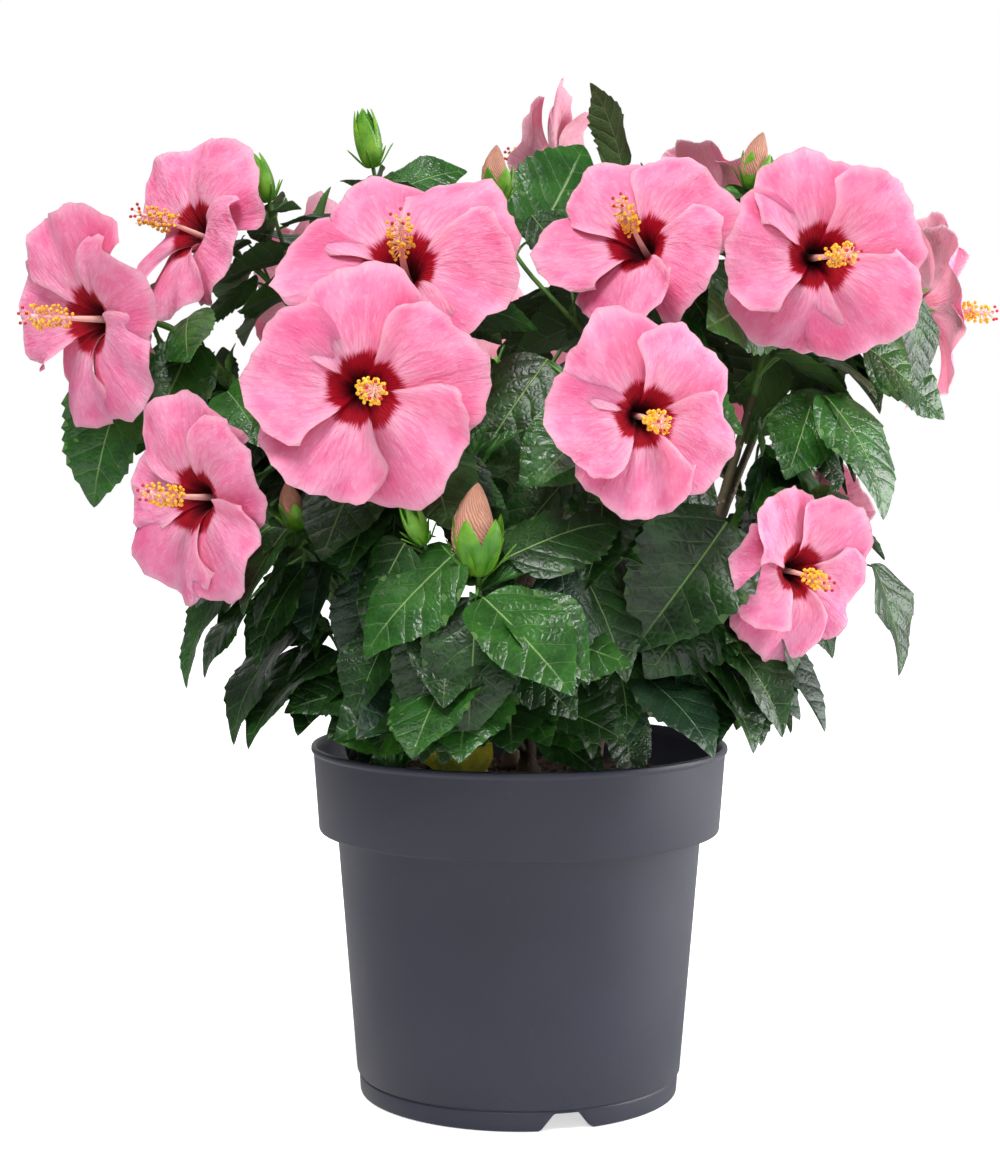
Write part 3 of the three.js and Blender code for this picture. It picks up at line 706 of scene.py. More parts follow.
# a leaf that closes the crown behind the lowest bud, and some that hang just inside the rim
INNER_LEAVES = (
    Leaf.at((-35, -101.8, 343.8), (-24, -84, 336), 20, -50, 62, 0),
    Leaf.at((-69.2, -46.1, 238.5), (-67, -60, 227), -15, -72, 45, 0),
    Leaf.at((-68.7, -35.8, 240.4), (-85, -43, 222), -20, -72, 42, 0),
    Leaf.at((-4.2, -77.1, 224), (8, -84, 212), 76, -32, 44, 0),
    Leaf.at((68.7, -50.6, 228.5), (52, -70, 222), 30, -60, 42, 0),
)
# a small shoot that stands in the compost behind the rim
SEEDLING = tuple(
    Leaf.at((-67, -79, 173), (-67, -79, 175), azimuth, rise, length, 0)
    for azimuth, rise, length in ((-50, 76, 34), (60, 68, 28), (-120, 60, 24), (10, 82, 36))
)
# an old leaf that yellows in the shade
FADED_LEAF = Leaf.at((-8, -70, 212), (-14, -92, 205), -84, -8, 38, -40)


@dataclass
class Grower:
    """Grows the limbs and leaves of the shrub from its plan, by the same rule as the part's source."""

    rim_height: float = 193.0
    rim_radius: float = 115.0
    soil: float = 174.3
    fork_at: float = 0.46  # where a bough ends and its shoot begins
    bough_radii: Way = (2.9, 2.1)
    shoot_radii: Way = (2.1, 1.5)
    twig_radii: Way = (1.5, 1.1)
    room_radius: float = 95.0
    leaf_sizes: Way = (50.0, 76.0)
    stalks: Way = (12.0, 28.0)
    limb_gap: float = 6.6
    bows: int = 16  # ways in which a path is tried
    swing: float = 110.0
    tries: int = 5
    # radii kept free round the limbs, the blooms and the posed leaves
    limb_ball: float = 2.0
    bloom_ball: float = 5.0
    posed_ball: float = 3.0
    layers: tuple[Way, Way] = ((1.0, 3.5), (0.9, 3.0))  # each round's size of leaf and the radius kept free
    petal_gap: float = 7.0
    rest_above: float = 13.0  # how far over the rim the low leaves lie
    stems: dict[str, Line] = field(default_factory=dict)
    boughs: list[Line] = field(default_factory=list)
    twigs: list[Line] = field(default_factory=list)
    leaves: list[Leaf] = field(default_factory=list)
    young: list[Leaf] = field(default_factory=list)
    room: Room = field(default_factory=Room)

    def stem(self, name: str) -> Line:
        """Plans one stem from its flat foot in the compost to its top.

        Args:
            name: The stem's name.

        Returns:
            Its line.
        """
        (foot_way, foot_reach), (top_way, top_reach, top_height), radii = STEMS[name]
        start = heading(foot_way) * foot_reach + UP * self.soil
        end = heading(top_way) * top_reach + UP * top_height
        return Line(Bend.between(start, heading(foot_way, 78), end, unit(end - start), 0.4), 0, 1, radii)

    def path(self, shoot: Shoot, drawn: Array) -> Bend:
        """Plans a shoot's path from its stem to its first end, bowed aside where it would meet another limb.

        Args:
            shoot: The shoot.
            drawn: Points along the other limbs.

        Returns:
            The path with the most room, or the first with enough.
        """
        stem = self.stems[shoot.stem].bend
        start, end = stem.at(shoot.fork), shoot.ends[0].seat
        straight, leaving = unit(end - start), stem.along(shoot.fork)
        if shoot.fork < 1:
            leaving = unit(leaving + 1.1 * unit(straight - straight @ leaving * leaving))
        level, upright = across(straight)
        best, most = None, -math.inf
        for attempt in range(self.bows):
            angle = math.radians(150 * attempt)
            knots = Bend.between(start, leaving, end, shoot.ends[0].axis).knots.copy()
            knots[1:3] += 3 * attempt * (level * math.cos(angle) + upright * math.sin(angle))
            bend = Bend(knots)
            gaps = np.linalg.norm(bend.at(np.linspace(0.1, 0.96, 26))[:, None] - drawn[None], axis=-1)
            space = float(gaps.min()) - self.limb_gap
            if space > most:
                best, most = bend, space
            if space > 0:
                break
        return best

    def lines(self, shoot: Shoot, path: Bend) -> list[Line]:
        """The shoot's own stem and a twig to each further end.

        Args:
            shoot: The shoot.
            path: Its path.

        Returns:
            The lines.
        """
        main = Line(path, self.fork_at, 1, self.shoot_radii)
        lines = [main]
        for i, end in enumerate(shoot.ends[1:]):
            share = 0.2 + 0.2 * i
            start = main.at(share)
            leaving = unit(path.along(mix(self.fork_at, 1, share)) + unit(end.seat - start))
            lines.append(Line(Bend.between(start, leaving, end.seat, end.axis), 0, 1, self.twig_radii))
        return lines

    def dealt(self, lines: list[Line], count: int, draws: Draws, small: float = 1.0) -> Iterator[list[Leaf]]:
        """Deals leaves along the lines: a golden turn on each time, with a fixed number of draws for each. A
        blade swings round its base towards the light, by the fraction of a draw.

        Args:
            lines: The shoot's lines.
            count: How many leaves.
            draws: The draws.
            small: What the leaves' length is multiplied by.

        Yields:
            The choices for one leaf, best first.
        """
        for i in range(count):
            line = lines[0 if i % 2 == 0 else (i // 2) % len(lines)]
            share = 0.04 + 0.88 * (i + 0.5) / count
            node = line.at(share)
            size, stalk, hang, roll = (draws.next() for _ in range(4))
            swing = self.swing * (16 * hang % 1 - 0.5)
            low = min(max((420 - node[2]) / 180, 0), 1)
            choices = []
            for attempt in range(self.tries):
                leaving = heading(i * GOLDEN + attempt * 70, 25) + 0.9 * unit(node - HEART)
                leaving = unit(leaving + 0.3 * line.bend.along(mix(line.start, line.end, share)))
                base = node + leaving * mix(*self.stalks, stalk)
                length = small * mix(*self.leaf_sizes, size) * (1 - 0.3 * share * (1 - low))
                length *= 1 - 0.06 * attempt
                drop = min(max((base[2] - self.rim_height - 6) / length - 0.16, -0.5), 1)
                rise = max(-4 - 30 * hang - 34 * low - 8 * attempt, -math.degrees(math.asin(drop)))
                azimuth = math.degrees(math.atan2(leaving[0], -leaving[1]))
                choices.append(Leaf(node, base, azimuth + swing, rise, length, (roll - 0.5) * 50))
            yield choices

    def place(self, leaf: Leaf, ball: float, posed: bool = False) -> bool:
        """Keeps a leaf if its blade has room.

        Args:
            leaf: The leaf.
            ball: Radius kept free round its sample points.
            posed: Whether it is kept in any case.

        Returns:
            True if it was kept.
        """
        sample = leaf.sample()
        inside = np.hypot(sample[:, 0], sample[:, 1]) < self.rim_radius + 3
        sunk = bool((inside & (sample[:, 2] < self.rim_height + 1)).any())
        if not posed and (sunk or not self.room.fits(sample, ball)):
            return False
        self.room.take(sample, ball)
        self.leaves.append(leaf)
        return True

    def grow(self) -> None:
        """Grows every limb, then the posed leaves, then the rule's leaves, and smaller ones between them."""
        drawn: list[tuple[str, Array]] = []
        for name in STEMS:
            self.stems[name] = self.stem(name)
            drawn.append((name, self.stems[name].at(np.linspace(0, 1, 16))))
        grown: list[tuple[Shoot, list[Line]]] = []
        for shoot in SHOOTS:
            others = [points for owner, points in drawn if owner != shoot.stem]
            path = self.path(shoot, np.concatenate(others))
            drawn.append((shoot.name, path.at(np.linspace(0.05 if shoot.fork < 1 else 0.02, 1, 26))))
            self.boughs.append(Line(path, 0, self.fork_at, self.bough_radii))
            lines = self.lines(shoot, path)
            self.twigs.extend(lines)
            grown.append((shoot, lines))
        for _, points in drawn:
            self.room.take(points, self.limb_ball)
        steps = np.linspace(0, 1, 5)[:, None]
        for end in BLOOMS:
            self.room.take(self.disc(end), self.bloom_ball)
        for end in BUDS:
            self.room.take(end.seat + end.axis * end.size * steps, 0.2 * end.size)
        for shoot, lines in grown:
            nodes = np.concatenate([line.at(0.04 + 0.08 * np.arange(12)) for line in lines])
            for x, y, z, azimuth, rise, length, *roll in shoot.posed:
                base = np.array([x, y, z], dtype=float)
                node = nodes[np.argmin(np.linalg.norm(nodes - base, axis=1))]
                leaf = Leaf(node, base, azimuth, rise, length, roll[0] if roll else 0.0)
                self.place(leaf, self.posed_ball, posed=True)
        for layer, (small, ball) in enumerate(self.layers):
            for number, (shoot, lines) in enumerate(grown):
                middle = lines[0].at(0.55)
                draws = Draws(100 + number + 500 * layer)
                for choices in self.dealt(lines, shoot.leaves + layer, draws, small):
                    for leaf in choices:
                        ends = np.array([leaf.base, leaf.base + leaf.axis * leaf.length])
                        near = np.linalg.norm(ends - middle, axis=1).max() < self.room_radius
                        if near and self.place(leaf, ball):
                            break
        self.settle()
        for end in ENDS:
            self.young.extend(self.sprig(end))
        LOG.info("%d leaves and %d young ones", len(self.leaves), len(self.young))

    def settle(self) -> None:
        """Turns the posed leaves, shortens or drops one that would pierce a bloom, and rests the low ones."""
        petals = np.concatenate([self.disc(end, 6, 24) for end in BLOOMS])
        settled = []
        for leaf in self.leaves:
            if tuple(leaf.base) in TURNED:
                rise, length, roll = TURNED[tuple(leaf.base)]
                settled.append(replace(leaf, rise=rise, length=length, roll=roll))
                continue
            for share in (1.0, 0.85, 0.7):
                trial = replace(leaf, length=leaf.length * share)
                gaps = np.linalg.norm(trial.sample()[:, None] - petals, axis=-1)
                if gaps.min() > self.petal_gap:
                    settled.append(trial.rested(self.rim_height + self.rest_above))
                    break
        self.leaves = [*settled, *LOW_LEAVES]

    def sprig(self, end: End) -> Iterator[Leaf]:
        """Sets narrow young leaves round a twig's end: a rosette at a leafy tip, a few below a bloom or bud.

        Args:
            end: The twig's end.

        Yields:
            The young leaves that have room.
        """
        level, upright = across(end.axis)
        draws = Draws(int(abs(end.at[0]) * 7 + abs(end.at[2])))
        count, back, lean = {
            Organ.TIP: (9, 2.0, (0.2, 1.1)),
            Organ.BUD: (5, 7.0, (-0.3, 0.5)),
            Organ.BLOOM: (4, 10.0, (-1.0, 0.0)),
        }[end.organ]
        for i in range(count):
            angle = math.radians(GOLDEN * i)
            out = level * math.cos(angle) + upright * math.sin(angle)
            way = unit(out * (0.45 + 0.5 * draws.next()) + end.axis * mix(*lean, draws.next()))
            node = end.seat - end.axis * (back + 2.5 * (i % 3))
            azimuth, rise = math.degrees(math.atan2(way[0], -way[1])), math.degrees(math.asin(way[2]))
            length, roll = mix(17, 36, draws.next()), 40 * draws.next() - 20
            leaf = Leaf(node, node + way * 1.5, azimuth, rise, length, roll)
            if self.room.fits(leaf.sample()[4:], 0.8):
                yield leaf

    @staticmethod
    def disc(end: End, rings: int = 4, points: int = 15) -> Array:
        """Points over a bloom's funnel, by which others keep clear of it.

        Args:
            end: The bloom.
            rings: How many rings of points.
            points: How many in a ring.

        Returns:
            The points.
        """
        reach, angle = lattice(np.linspace(0.15, 0.92, rings), around(points))
        reach = reach.ravel() * end.size / 2
        return end.spots(reach, angle.ravel(), np.minimum(reach * 1.1, 0.23 * end.size))


# ---------------------------------------------------------------- materials

# how a kind of node is set unless told otherwise
USUAL: dict[str, dict[str, object]] = {
    "MapRange": {"interpolation_type": "SMOOTHSTEP"},
    "Mix": {"data_type": "RGBA"},
    "UVMap": {"uv_map": PATTERN},
}
SIGNS = {"*": "Math MULTIPLY", "*+": "Math MULTIPLY_ADD", "-": "Math SUBTRACT", "abs": "Math ABSOLUTE"}
UNMARGINED = 2.04  # takes a share back from the pattern's half and its margin of a hundredth


def linear(code: str) -> tuple[float, float, float, float]:
    """Turns an sRGB hex colour to linear: c / 12.92 below 0.04045, else ((c + 0.055) / 1.055) ^ 2.4.

    Args:
        code: Colour as #rrggbb.

    Returns:
        Linear red, green and blue with alpha 1.
    """
    parts = [int(code[i : i + 2], 16) / 255 for i in (1, 3, 5)]
    red, green, blue = (c / 12.92 if c <= 0.04045 else ((c + 0.055) / 1.055) ** 2.4 for c in parts)
    return red, green, blue, 1.0


class Graph:
    """The nodes of a material or a world, and the one on its output."""

    def __init__(self, owner: bpy.types.Material | bpy.types.World, surface: str = "Principled BSDF") -> None:
        """Takes up the owner's nodes.

        Args:
            owner: The material or world.
            surface: Name of the node on its output.
        """
        owner.use_nodes = True
        self.owner = owner
        self.surface = owner.node_tree.nodes[surface]

    def feed(self, socket: Socket, value: object) -> None:
        """Gives an input its value.

        Args:
            socket: The input.
            value: A number, a vector, a hex colour, an output to link, or None to leave the input as it is.
        """
        if isinstance(value, Socket):
            self.owner.node_tree.links.new(value, socket)
        elif value is not None:
            socket.default_value = linear(value) if isinstance(value, str) else value

    def give(self, inputs: dict[str, object]) -> None:
        """Gives the node on the output its inputs, by their names."""
        for name, value in inputs.items():
            self.feed(self.surface.inputs[name], value)

    def add(self, kind: str, *values: object, out: str = "", **settings: object) -> Socket:
        """Adds a node with its settings and links.

        Args:
            kind: The node's type without the ShaderNode in front and its operation after a space, or a sign.
            *values: What its inputs in use are given, in their order.
            out: Name of the output that is wanted, if not the first.
            **settings: The node's own properties.

        Returns:
            The output.
        """
        kind, _, operation = SIGNS.get(kind, kind).partition(" ")
        node = self.owner.node_tree.nodes.new("ShaderNode" + kind)
        usual = USUAL.get(kind, {"operation": operation} if operation else {})
        for name, value in (usual | settings).items():
            setattr(node, name, value)
        for socket, value in zip([socket for socket in node.inputs if socket.enabled], values):
            self.feed(socket, value)
        return node.outputs[out] if out else next(socket for socket in node.outputs if socket.enabled)

    def layers(self, colour: object, *over: tuple[object, object]) -> Socket:
        """A colour with others laid over it in turn.

        Args:
            colour: The lowest colour.
            *over: The share and colour of each layer, from below.

        Returns:
            The colour that they make.
        """
        for share, upper in over:
            colour = self.add("Mix", share, colour, upper)
        return colour

    def crest(self, turns: Socket) -> Socket:
        """How far a value is from the middle between two whole numbers, from 0 to 0.5 at a whole one."""
        return self.add("abs", self.add("-", self.add("Math FRACT", turns), 0.5))

    def pattern_place(self) -> tuple[Socket, Socket, Socket]:
        """The place on a double sheet's pattern.

        Returns:
            The share along the sheet, the share across it from -1 to 1, and 1 on the under side or else 0.
        """
        x = self.add("SeparateXYZ", self.add("UVMap"))
        under = self.add("Math GREATER_THAN", x, 0.5)
        along = self.add("-", x, self.add("*", under, 0.5))
        side = self.add("*+", x.node.outputs["Y"], UNMARGINED, -UNMARGINED / 2)
        return self.add("*", along, UNMARGINED), side, under


class Finish:
    """A finish, which adds its own nodes to a new material."""

    def dress(self, g: Graph) -> None:
        """Adds the finish's nodes."""
        raise NotImplementedError

    def make(self, name: str) -> bpy.types.Material:
        """Builds the material.

        Args:
            name: The material's name.

        Returns:
            The material.
        """
        g = Graph(bpy.data.materials.new(name))
        self.dress(g)
        return g.owner


@dataclass(frozen=True)
class PetalFinish(Finish):
    """A hibiscus petal: thin, finely veined and softly matt, with a deep red eye that feathers out."""

    field_colour: str = "#f2719c"
    light_colour: str = "#f993b5"
    vein_colour: str = "#d5437c"
    ray_colour: str = "#ffd2e0"
    crumple_colour: str = "#ffc0d3"
    # painted shade on the side of a petal that the next one lies over
    painted_lap_shade: str = "#d94f80"
    # painted highlight along the leading edge, which is lifted over the last petal
    painted_edge_highlight: str = "#fdb9cc"
    margin_colour: str = "#fdbccd"
    rim_colour: str = "#b80a38"
    eye_colour: str = "#97021a"
    throat_colour: str = "#360007"
    back_colour: str = "#ffa8bc"
    back_vein: str = "#f08496"
    back_light: str = "#ffc6d2"
    back_eye: str = "#c7596e"
    veins: float = 18.0  # in each half of a petal some 70 mm wide

    def dress(self, g: Graph) -> None:
        """Adds the streaks, veins, crumples and eye, and the plainer back.

        Args:
            g: The material's nodes.
        """
        along, side, under = g.pattern_place()
        fan = g.add("*", side, g.add("*+", along, 0.35, 0.65))
        # streaks run out along the petal, clouds are broad, and crumples are some 3 mm across
        drawn = g.add("CombineXYZ", g.add("*", along, 1.6), g.add("*", fan, 14.0))
        streaks = g.add("TexNoise", drawn, 1.5, 4.0, 0.65)
        x, y = g.add("*", along, 2.2), g.add("*", side, 1.8)
        clouds = g.add("TexNoise", g.add("CombineXYZ", x, y, under), 1.6, 3.0, 0.55)
        x, y = g.add("*", along, 6.0), g.add("*", fan, 7.0)
        crumples = g.add("TexNoise", g.add("CombineXYZ", x, y, under), 2.2, 4.0, 0.6)
        ways = g.add("*+", fan, self.veins, g.add("*", clouds, 3.0))
        veins = g.add("MapRange", g.crest(ways), 0.0, 0.14, 1.0, 0.0)
        shown = g.add("MapRange", along, 0.98, 0.35, 0.02, 0.13)
        near = g.add("MapRange", along, 0.72, 0.42)
        rays = g.add("*", near, g.add("MapRange", streaks, 0.62, 0.4))
        # pale rays outside the eye, a painted shade on the side where the next petal lies over it, a painted
        # highlight along the lifted leading edge, and a lighter margin
        colour = g.layers(
            self.field_colour,
            (g.add("MapRange", clouds, 0.3, 0.72), self.light_colour),
            (g.add("*", g.add("MapRange", streaks, 0.45, 0.75), 0.09), self.vein_colour),
            (g.add("*", veins, shown), self.vein_colour),
            (g.add("*", rays, 0.3), self.ray_colour),
            (g.add("*", g.add("MapRange", crumples, 0.5, 0.72), 0.3), self.crumple_colour),
            (g.add("MapRange", side, 0.1, 0.62, 0.0, 0.5), self.painted_lap_shade),
            (g.add("MapRange", side, -0.85, -0.98, 0.0, 0.45), self.painted_edge_highlight),
            (g.add("MapRange", along, 0.9, 1.0, 0.0, 0.35), self.margin_colour),
        )
        # the eye: a rounded patch on each petal, torn into rays at its edge
        reach = g.add("Math POWER", g.add("abs", side), 2.0)
        reach = g.add("*+", reach, 0.05, along)
        torn = g.add("*+", g.add("-", streaks, 0.5), 0.22, reach)
        torn = g.add("*+", g.add("-", clouds, 0.5), 0.16, torn)
        patch = g.layers(
            self.rim_colour,
            (g.add("MapRange", torn, 0.42, 0.34), self.eye_colour),
            (g.add("MapRange", torn, 0.3, 0.12), self.throat_colour),
        )
        front = g.add("Mix", g.add("MapRange", torn, 0.43, 0.355), colour, patch)
        back = g.layers(
            self.back_colour,
            (g.add("*", veins, 0.35), self.back_vein),
            (g.add("*", g.add("MapRange", clouds, 0.4, 0.7), 0.4), self.back_light),
            (g.add("*", g.add("MapRange", torn, 0.34, 0.2), 0.5), self.back_eye),
        )
        height = g.add("*+", clouds, 1.8, g.add("*", streaks, 0.6))
        height = g.add("*+", crumples, 0.9, height)
        height = g.add("*+", veins, -0.12, height)
        g.give({"Base Color": g.add("Mix", under, front, back), "Roughness": 0.55, "IOR": 1.4})
        g.give({"Specular IOR Level": 0.22, "Normal": g.add("Bump", 0.75, 0.0015, None, height)})
        g.give({"Subsurface Weight": 0.45, "Subsurface Scale": 0.003, "Subsurface Radius": (1.0, 0.5, 0.55)})


@dataclass(frozen=True)
class ColumnFinish(Finish):
    """The tube that carries the stamens: waxy flesh, deep red where it leaves the throat and pale beyond."""

    foot: str = "#a8102e"
    flesh: str = "#f9bdb4"

    def dress(self, g: Graph) -> None:
        """Adds the blend from foot to flesh.

        Args:
            g: The material's nodes.
        """
        along = g.add("SeparateXYZ", g.add("UVMap"))
        colour = g.add("Mix", g.add("MapRange", along, 0.12, 0.42), self.foot, self.flesh)
        g.give({"Base Color": colour, "Roughness": 0.45, "IOR": 1.4})
        g.give({"Subsurface Weight": 0.1, "Subsurface Scale": 0.002})


@dataclass(frozen=True)
class LeafFinish(Finish):
    """A hibiscus leaf: leathery and glossy above, quilted between its veins, and paler and duller beneath."""

    blade: str = "#1b4513"
    shade: str = "#0e280d"
    vein: str = "#86ad62"
    beneath: str = "#3a5728"
    roughness: float = 0.35
    vein_beneath: str = "#7f9863"
    ranks: float = 5.6  # side veins to a blade's length

    def dress(self, g: Graph) -> None:
        """Adds the midrib, side veins and nets, and the quilting between them.

        Args:
            g: The material's nodes.
        """
        along, side, under = g.pattern_place()
        far = g.add("abs", side)
        place = g.add("CombineXYZ", along, g.add("*", side, 0.35), under)
        wander = g.add("-", g.add("TexNoise", place, 3.5, 2.0, 0.55), 0.5)
        # side veins leave the midrib at about 45 degrees and curl towards the tip
        rank = g.add("*+", far, -0.26, along)
        rank = g.add("*+", g.add("*", far, far), -0.10, rank)
        rank = g.add("*", g.add("*+", wander, 0.1, rank), self.ranks)
        ribs = g.add("MapRange", g.crest(rank), 0.465, 0.5)
        ribs = g.add("*", ribs, g.add("MapRange", far, 0.95, 0.1, 0.1, 1.0))
        midrib = g.add("MapRange", far, 0.028, 0.006)
        midrib = g.add("*", midrib, g.add("MapRange", along, 1.05, 0.5))
        net = g.add("TexVoronoi", place, 21.0, feature="DISTANCE_TO_EDGE")
        fine = g.add("TexVoronoi", place, 62.0, feature="DISTANCE_TO_EDGE")
        mottle = g.add("TexNoise", place, 3.2, 4.0, 0.55)
        top = g.layers(
            self.shade,
            (g.add("MapRange", mottle, 0.32, 0.7), self.blade),
            (g.add("*", g.add("MapRange", net, 0.07, 0.0), 0.05), self.vein),
            (g.add("*", ribs, 0.24), self.vein),
            (g.add("*", midrib, 0.72), self.vein),
        )
        drawn = g.add("*", g.add("Math MAXIMUM", ribs, midrib), 0.6)
        low = g.add("Mix", drawn, self.beneath, self.vein_beneath)
        rough = g.add("*+", mottle, 0.18, self.roughness - 0.07)
        rough = g.add("*+", under, 0.3, rough)
        # quilting: the blade swells between its side veins, and again between the finer nets
        swell = g.add("Math SINE", g.add("*", g.add("Math FRACT", rank), math.pi))
        height = g.add("Math POWER", swell, 0.5)
        height = g.add("*+", g.add("MapRange", net, 0.0, 0.35), 0.3, height)
        height = g.add("*+", g.add("MapRange", fine, 0.0, 0.4), 0.05, height)
        height = g.add("*+", midrib, -1.0, height)
        g.give({"Base Color": g.add("Mix", under, top, low), "Roughness": rough, "IOR": 1.46})
        g.give({"Normal": g.add("Bump", 0.6, 0.001, None, height)})


@dataclass(frozen=True)
class GreenFinish(Finish):
    """Young green tissue of stalks, calyxes and twigs: smooth, a little waxy, with fine ribs along it."""

    base: str = "#4f8a2c"
    dark: str = "#2f6420"
    roughness: float = 0.45

    def dress(self, g: Graph) -> None:
        """Adds patches of 11 mm and ribs of 1 mm.

        Args:
            g: The material's nodes.
        """
        place = g.add("TexCoord", out="Object")
        patches = g.add("MapRange", g.add("TexNoise", place, 90.0, 3.0, 0.55), 0.3, 0.7)
        g.give({"Base Color": g.add("Mix", patches, self.dark, self.base), "Roughness": self.roughness})
        ribs = g.add("TexNoise", place, 900.0, 2.0, 0.55)
        g.give({"IOR": 1.45, "Normal": g.add("Bump", 0.5, 0.0002, None, ribs)})


@dataclass(frozen=True)
class BarkFinish(Finish):
    """Hibiscus bark: grey-brown, smooth with small pale pores and shallow rings, greener on young limbs."""

    old: str = "#6d5b4a"
    young: str = "#4f4a30"
    crack: str = "#3b2e24"
    pore: str = "#9a8a76"

    def dress(self, g: Graph) -> None:
        """Adds the greener height, the rough skin, and pores 1 to 2 mm across, every 6 mm or so.

        Args:
            g: The material's nodes.
        """
        place = g.add("TexCoord", out="Object")
        height = g.add("SeparateXYZ", place, out="Z")
        rough = g.add("TexNoise", place, 160.0, 5.0, 0.65)
        spots = g.add("TexVoronoi", place, 170.0)
        colour = g.layers(
            self.old,
            (g.add("MapRange", height, 0.25, 0.38), self.young),
            (g.add("MapRange", rough, 0.42, 0.7, 0.0, 0.45), self.crack),
            (g.add("MapRange", spots, 0.22, 0.1, 0.0, 0.7), self.pore),
        )
        raised = g.add("*+", g.add("MapRange", spots, 0.25, 0.1), 0.6, rough)
        g.give({"Base Color": colour, "Roughness": 0.72, "IOR": 1.5})
        g.give({"Normal": g.add("Bump", 0.8, 0.0009, None, raised)})


@dataclass(frozen=True)
class PotFinish(Finish):
    """Moulded polypropylene: dark grey, satin, with a faint spark-eroded grain and a little dust."""

    colour: str = "#222434"
    worn: str = "#2d2f3f"
    dust: str = "#7a7974"

    def dress(self, g: Graph) -> None:
        """Adds worn clouds, dust, and a grain of about 0.6 mm, a little coarser than life so that it shows.

        Args:
            g: The material's nodes.
        """
        place = g.add("TexCoord", out="Object")
        clouds = g.add("TexNoise", place, 9.0, 4.0, 0.55)
        grain = g.add("TexNoise", place, 1300.0, 2.0, 0.6)
        dust = g.add("TexNoise", place, 60.0, 5.0, 0.7)
        colour = g.layers(
            self.colour,
            (g.add("MapRange", clouds, 0.35, 0.7, 0.0, 0.5), self.worn),
            (g.add("MapRange", dust, 0.6, 0.85, 0.0, 0.12), self.dust),
        )
        rough = g.add("*+", clouds, 0.14, 0.40)
        g.give({"Base Color": colour, "Roughness": rough, "IOR": 1.49})
        height = g.add("*+", dust, 0.3, grain)
        g.give({"Normal": g.add("Bump", 0.5, 0.00022, None, height)})


@dataclass(frozen=True)
class CompostFinish(Finish):
    """Peat compost: dark brown, fibrous and matt, with lighter bits of bark."""

    colour: str = "#241a13"
    fibre: str = "#4a3423"
    bark: str = "#77593c"

    def dress(self, g: Graph) -> None:
        """Adds fibres and flecks of about 4 mm.

        Args:
            g: The material's nodes.
        """
        place = g.add("TexCoord", out="Object")
        coarse = g.add("TexNoise", place, 220.0, 6.0, 0.7)
        flecks = g.add("SeparateXYZ", g.add("TexVoronoi", place, 260.0, out="Color"))
        colour = g.layers(
            self.colour,
            (g.add("MapRange", coarse, 0.35, 0.7), self.fibre),
            (g.add("MapRange", flecks, 0.86, 0.95, 0.0, 0.6), self.bark),
        )
        g.give({"Base Color": colour, "Roughness": 0.92, "Normal": g.add("Bump", 1.0, 0.0035, None, coarse)})


@dataclass(frozen=True)
class PlainFinish(Finish):
    """Small soft plant parts, such as pollen and stigmas: one hue with a mealy variation."""

    colour: str
    shade: str
    roughness: float = 0.7

    def dress(self, g: Graph) -> None:
        """Adds meal of about 1.4 mm.

        Args:
            g: The material's nodes.
        """
        meal = g.add("TexNoise", g.add("TexCoord", out="Object"), 700.0, 3.0, 0.55)
        g.give({"Base Color": g.add("Mix", g.add("MapRange", meal, 0.3, 0.7), self.shade, self.colour)})
        g.give({"Roughness": self.roughness, "Subsurface Weight": 0.1, "Subsurface Scale": 0.002})
        g.give({"Normal": g.add("Bump", 0.6, 0.0003, None, meal)})


@dataclass(frozen=True)
class RolledFinish(Finish):
    """Petals still rolled up in the bud: salmon, matt, with pleats some 2 mm wide that lean as they rise."""

    colour: str = "#d39d84"
    # a darker salmon, used for a mottle and for painted shade in the pleats' creases
    fold: str = "#8f5549"
    pleats: int = 30
    lean: float = 14.0  # pleats that a line up the bud crosses

    def dress(self, g: Graph) -> None:
        """Adds the pleats, as dark lines of painted shade in their creases and as relief, and a darker
        mottle.

        Args:
            g: The material's nodes.
        """
        along = g.add("SeparateXYZ", g.add("UVMap"))
        meal = g.add("TexNoise", g.add("TexCoord", out="Object"), 240.0, 3.0, 0.55)
        turns = g.add("*", meal, 1.5)
        turns = g.add("*+", along.node.outputs["Y"], self.pleats / 0.98, turns)
        crest = g.crest(g.add("*+", along, self.lean, turns))
        colour = g.layers(
            self.colour,
            (g.add("MapRange", meal, 0.3, 0.7, 0.0, 0.25), self.fold),
            # painted shade along the creases of the pleats
            (g.add("MapRange", crest, 0.2, 0.5, 0.0, 0.75), self.fold),
        )
        g.give({"Base Color": colour, "Roughness": 0.6, "IOR": 1.4})
        g.give({"Subsurface Weight": 0.1, "Subsurface Scale": 0.002})
        g.give({"Normal": g.add("Bump", 0.7, -0.0008, None, crest)})


# ---------------------------------------------------------------- the pot and its compost


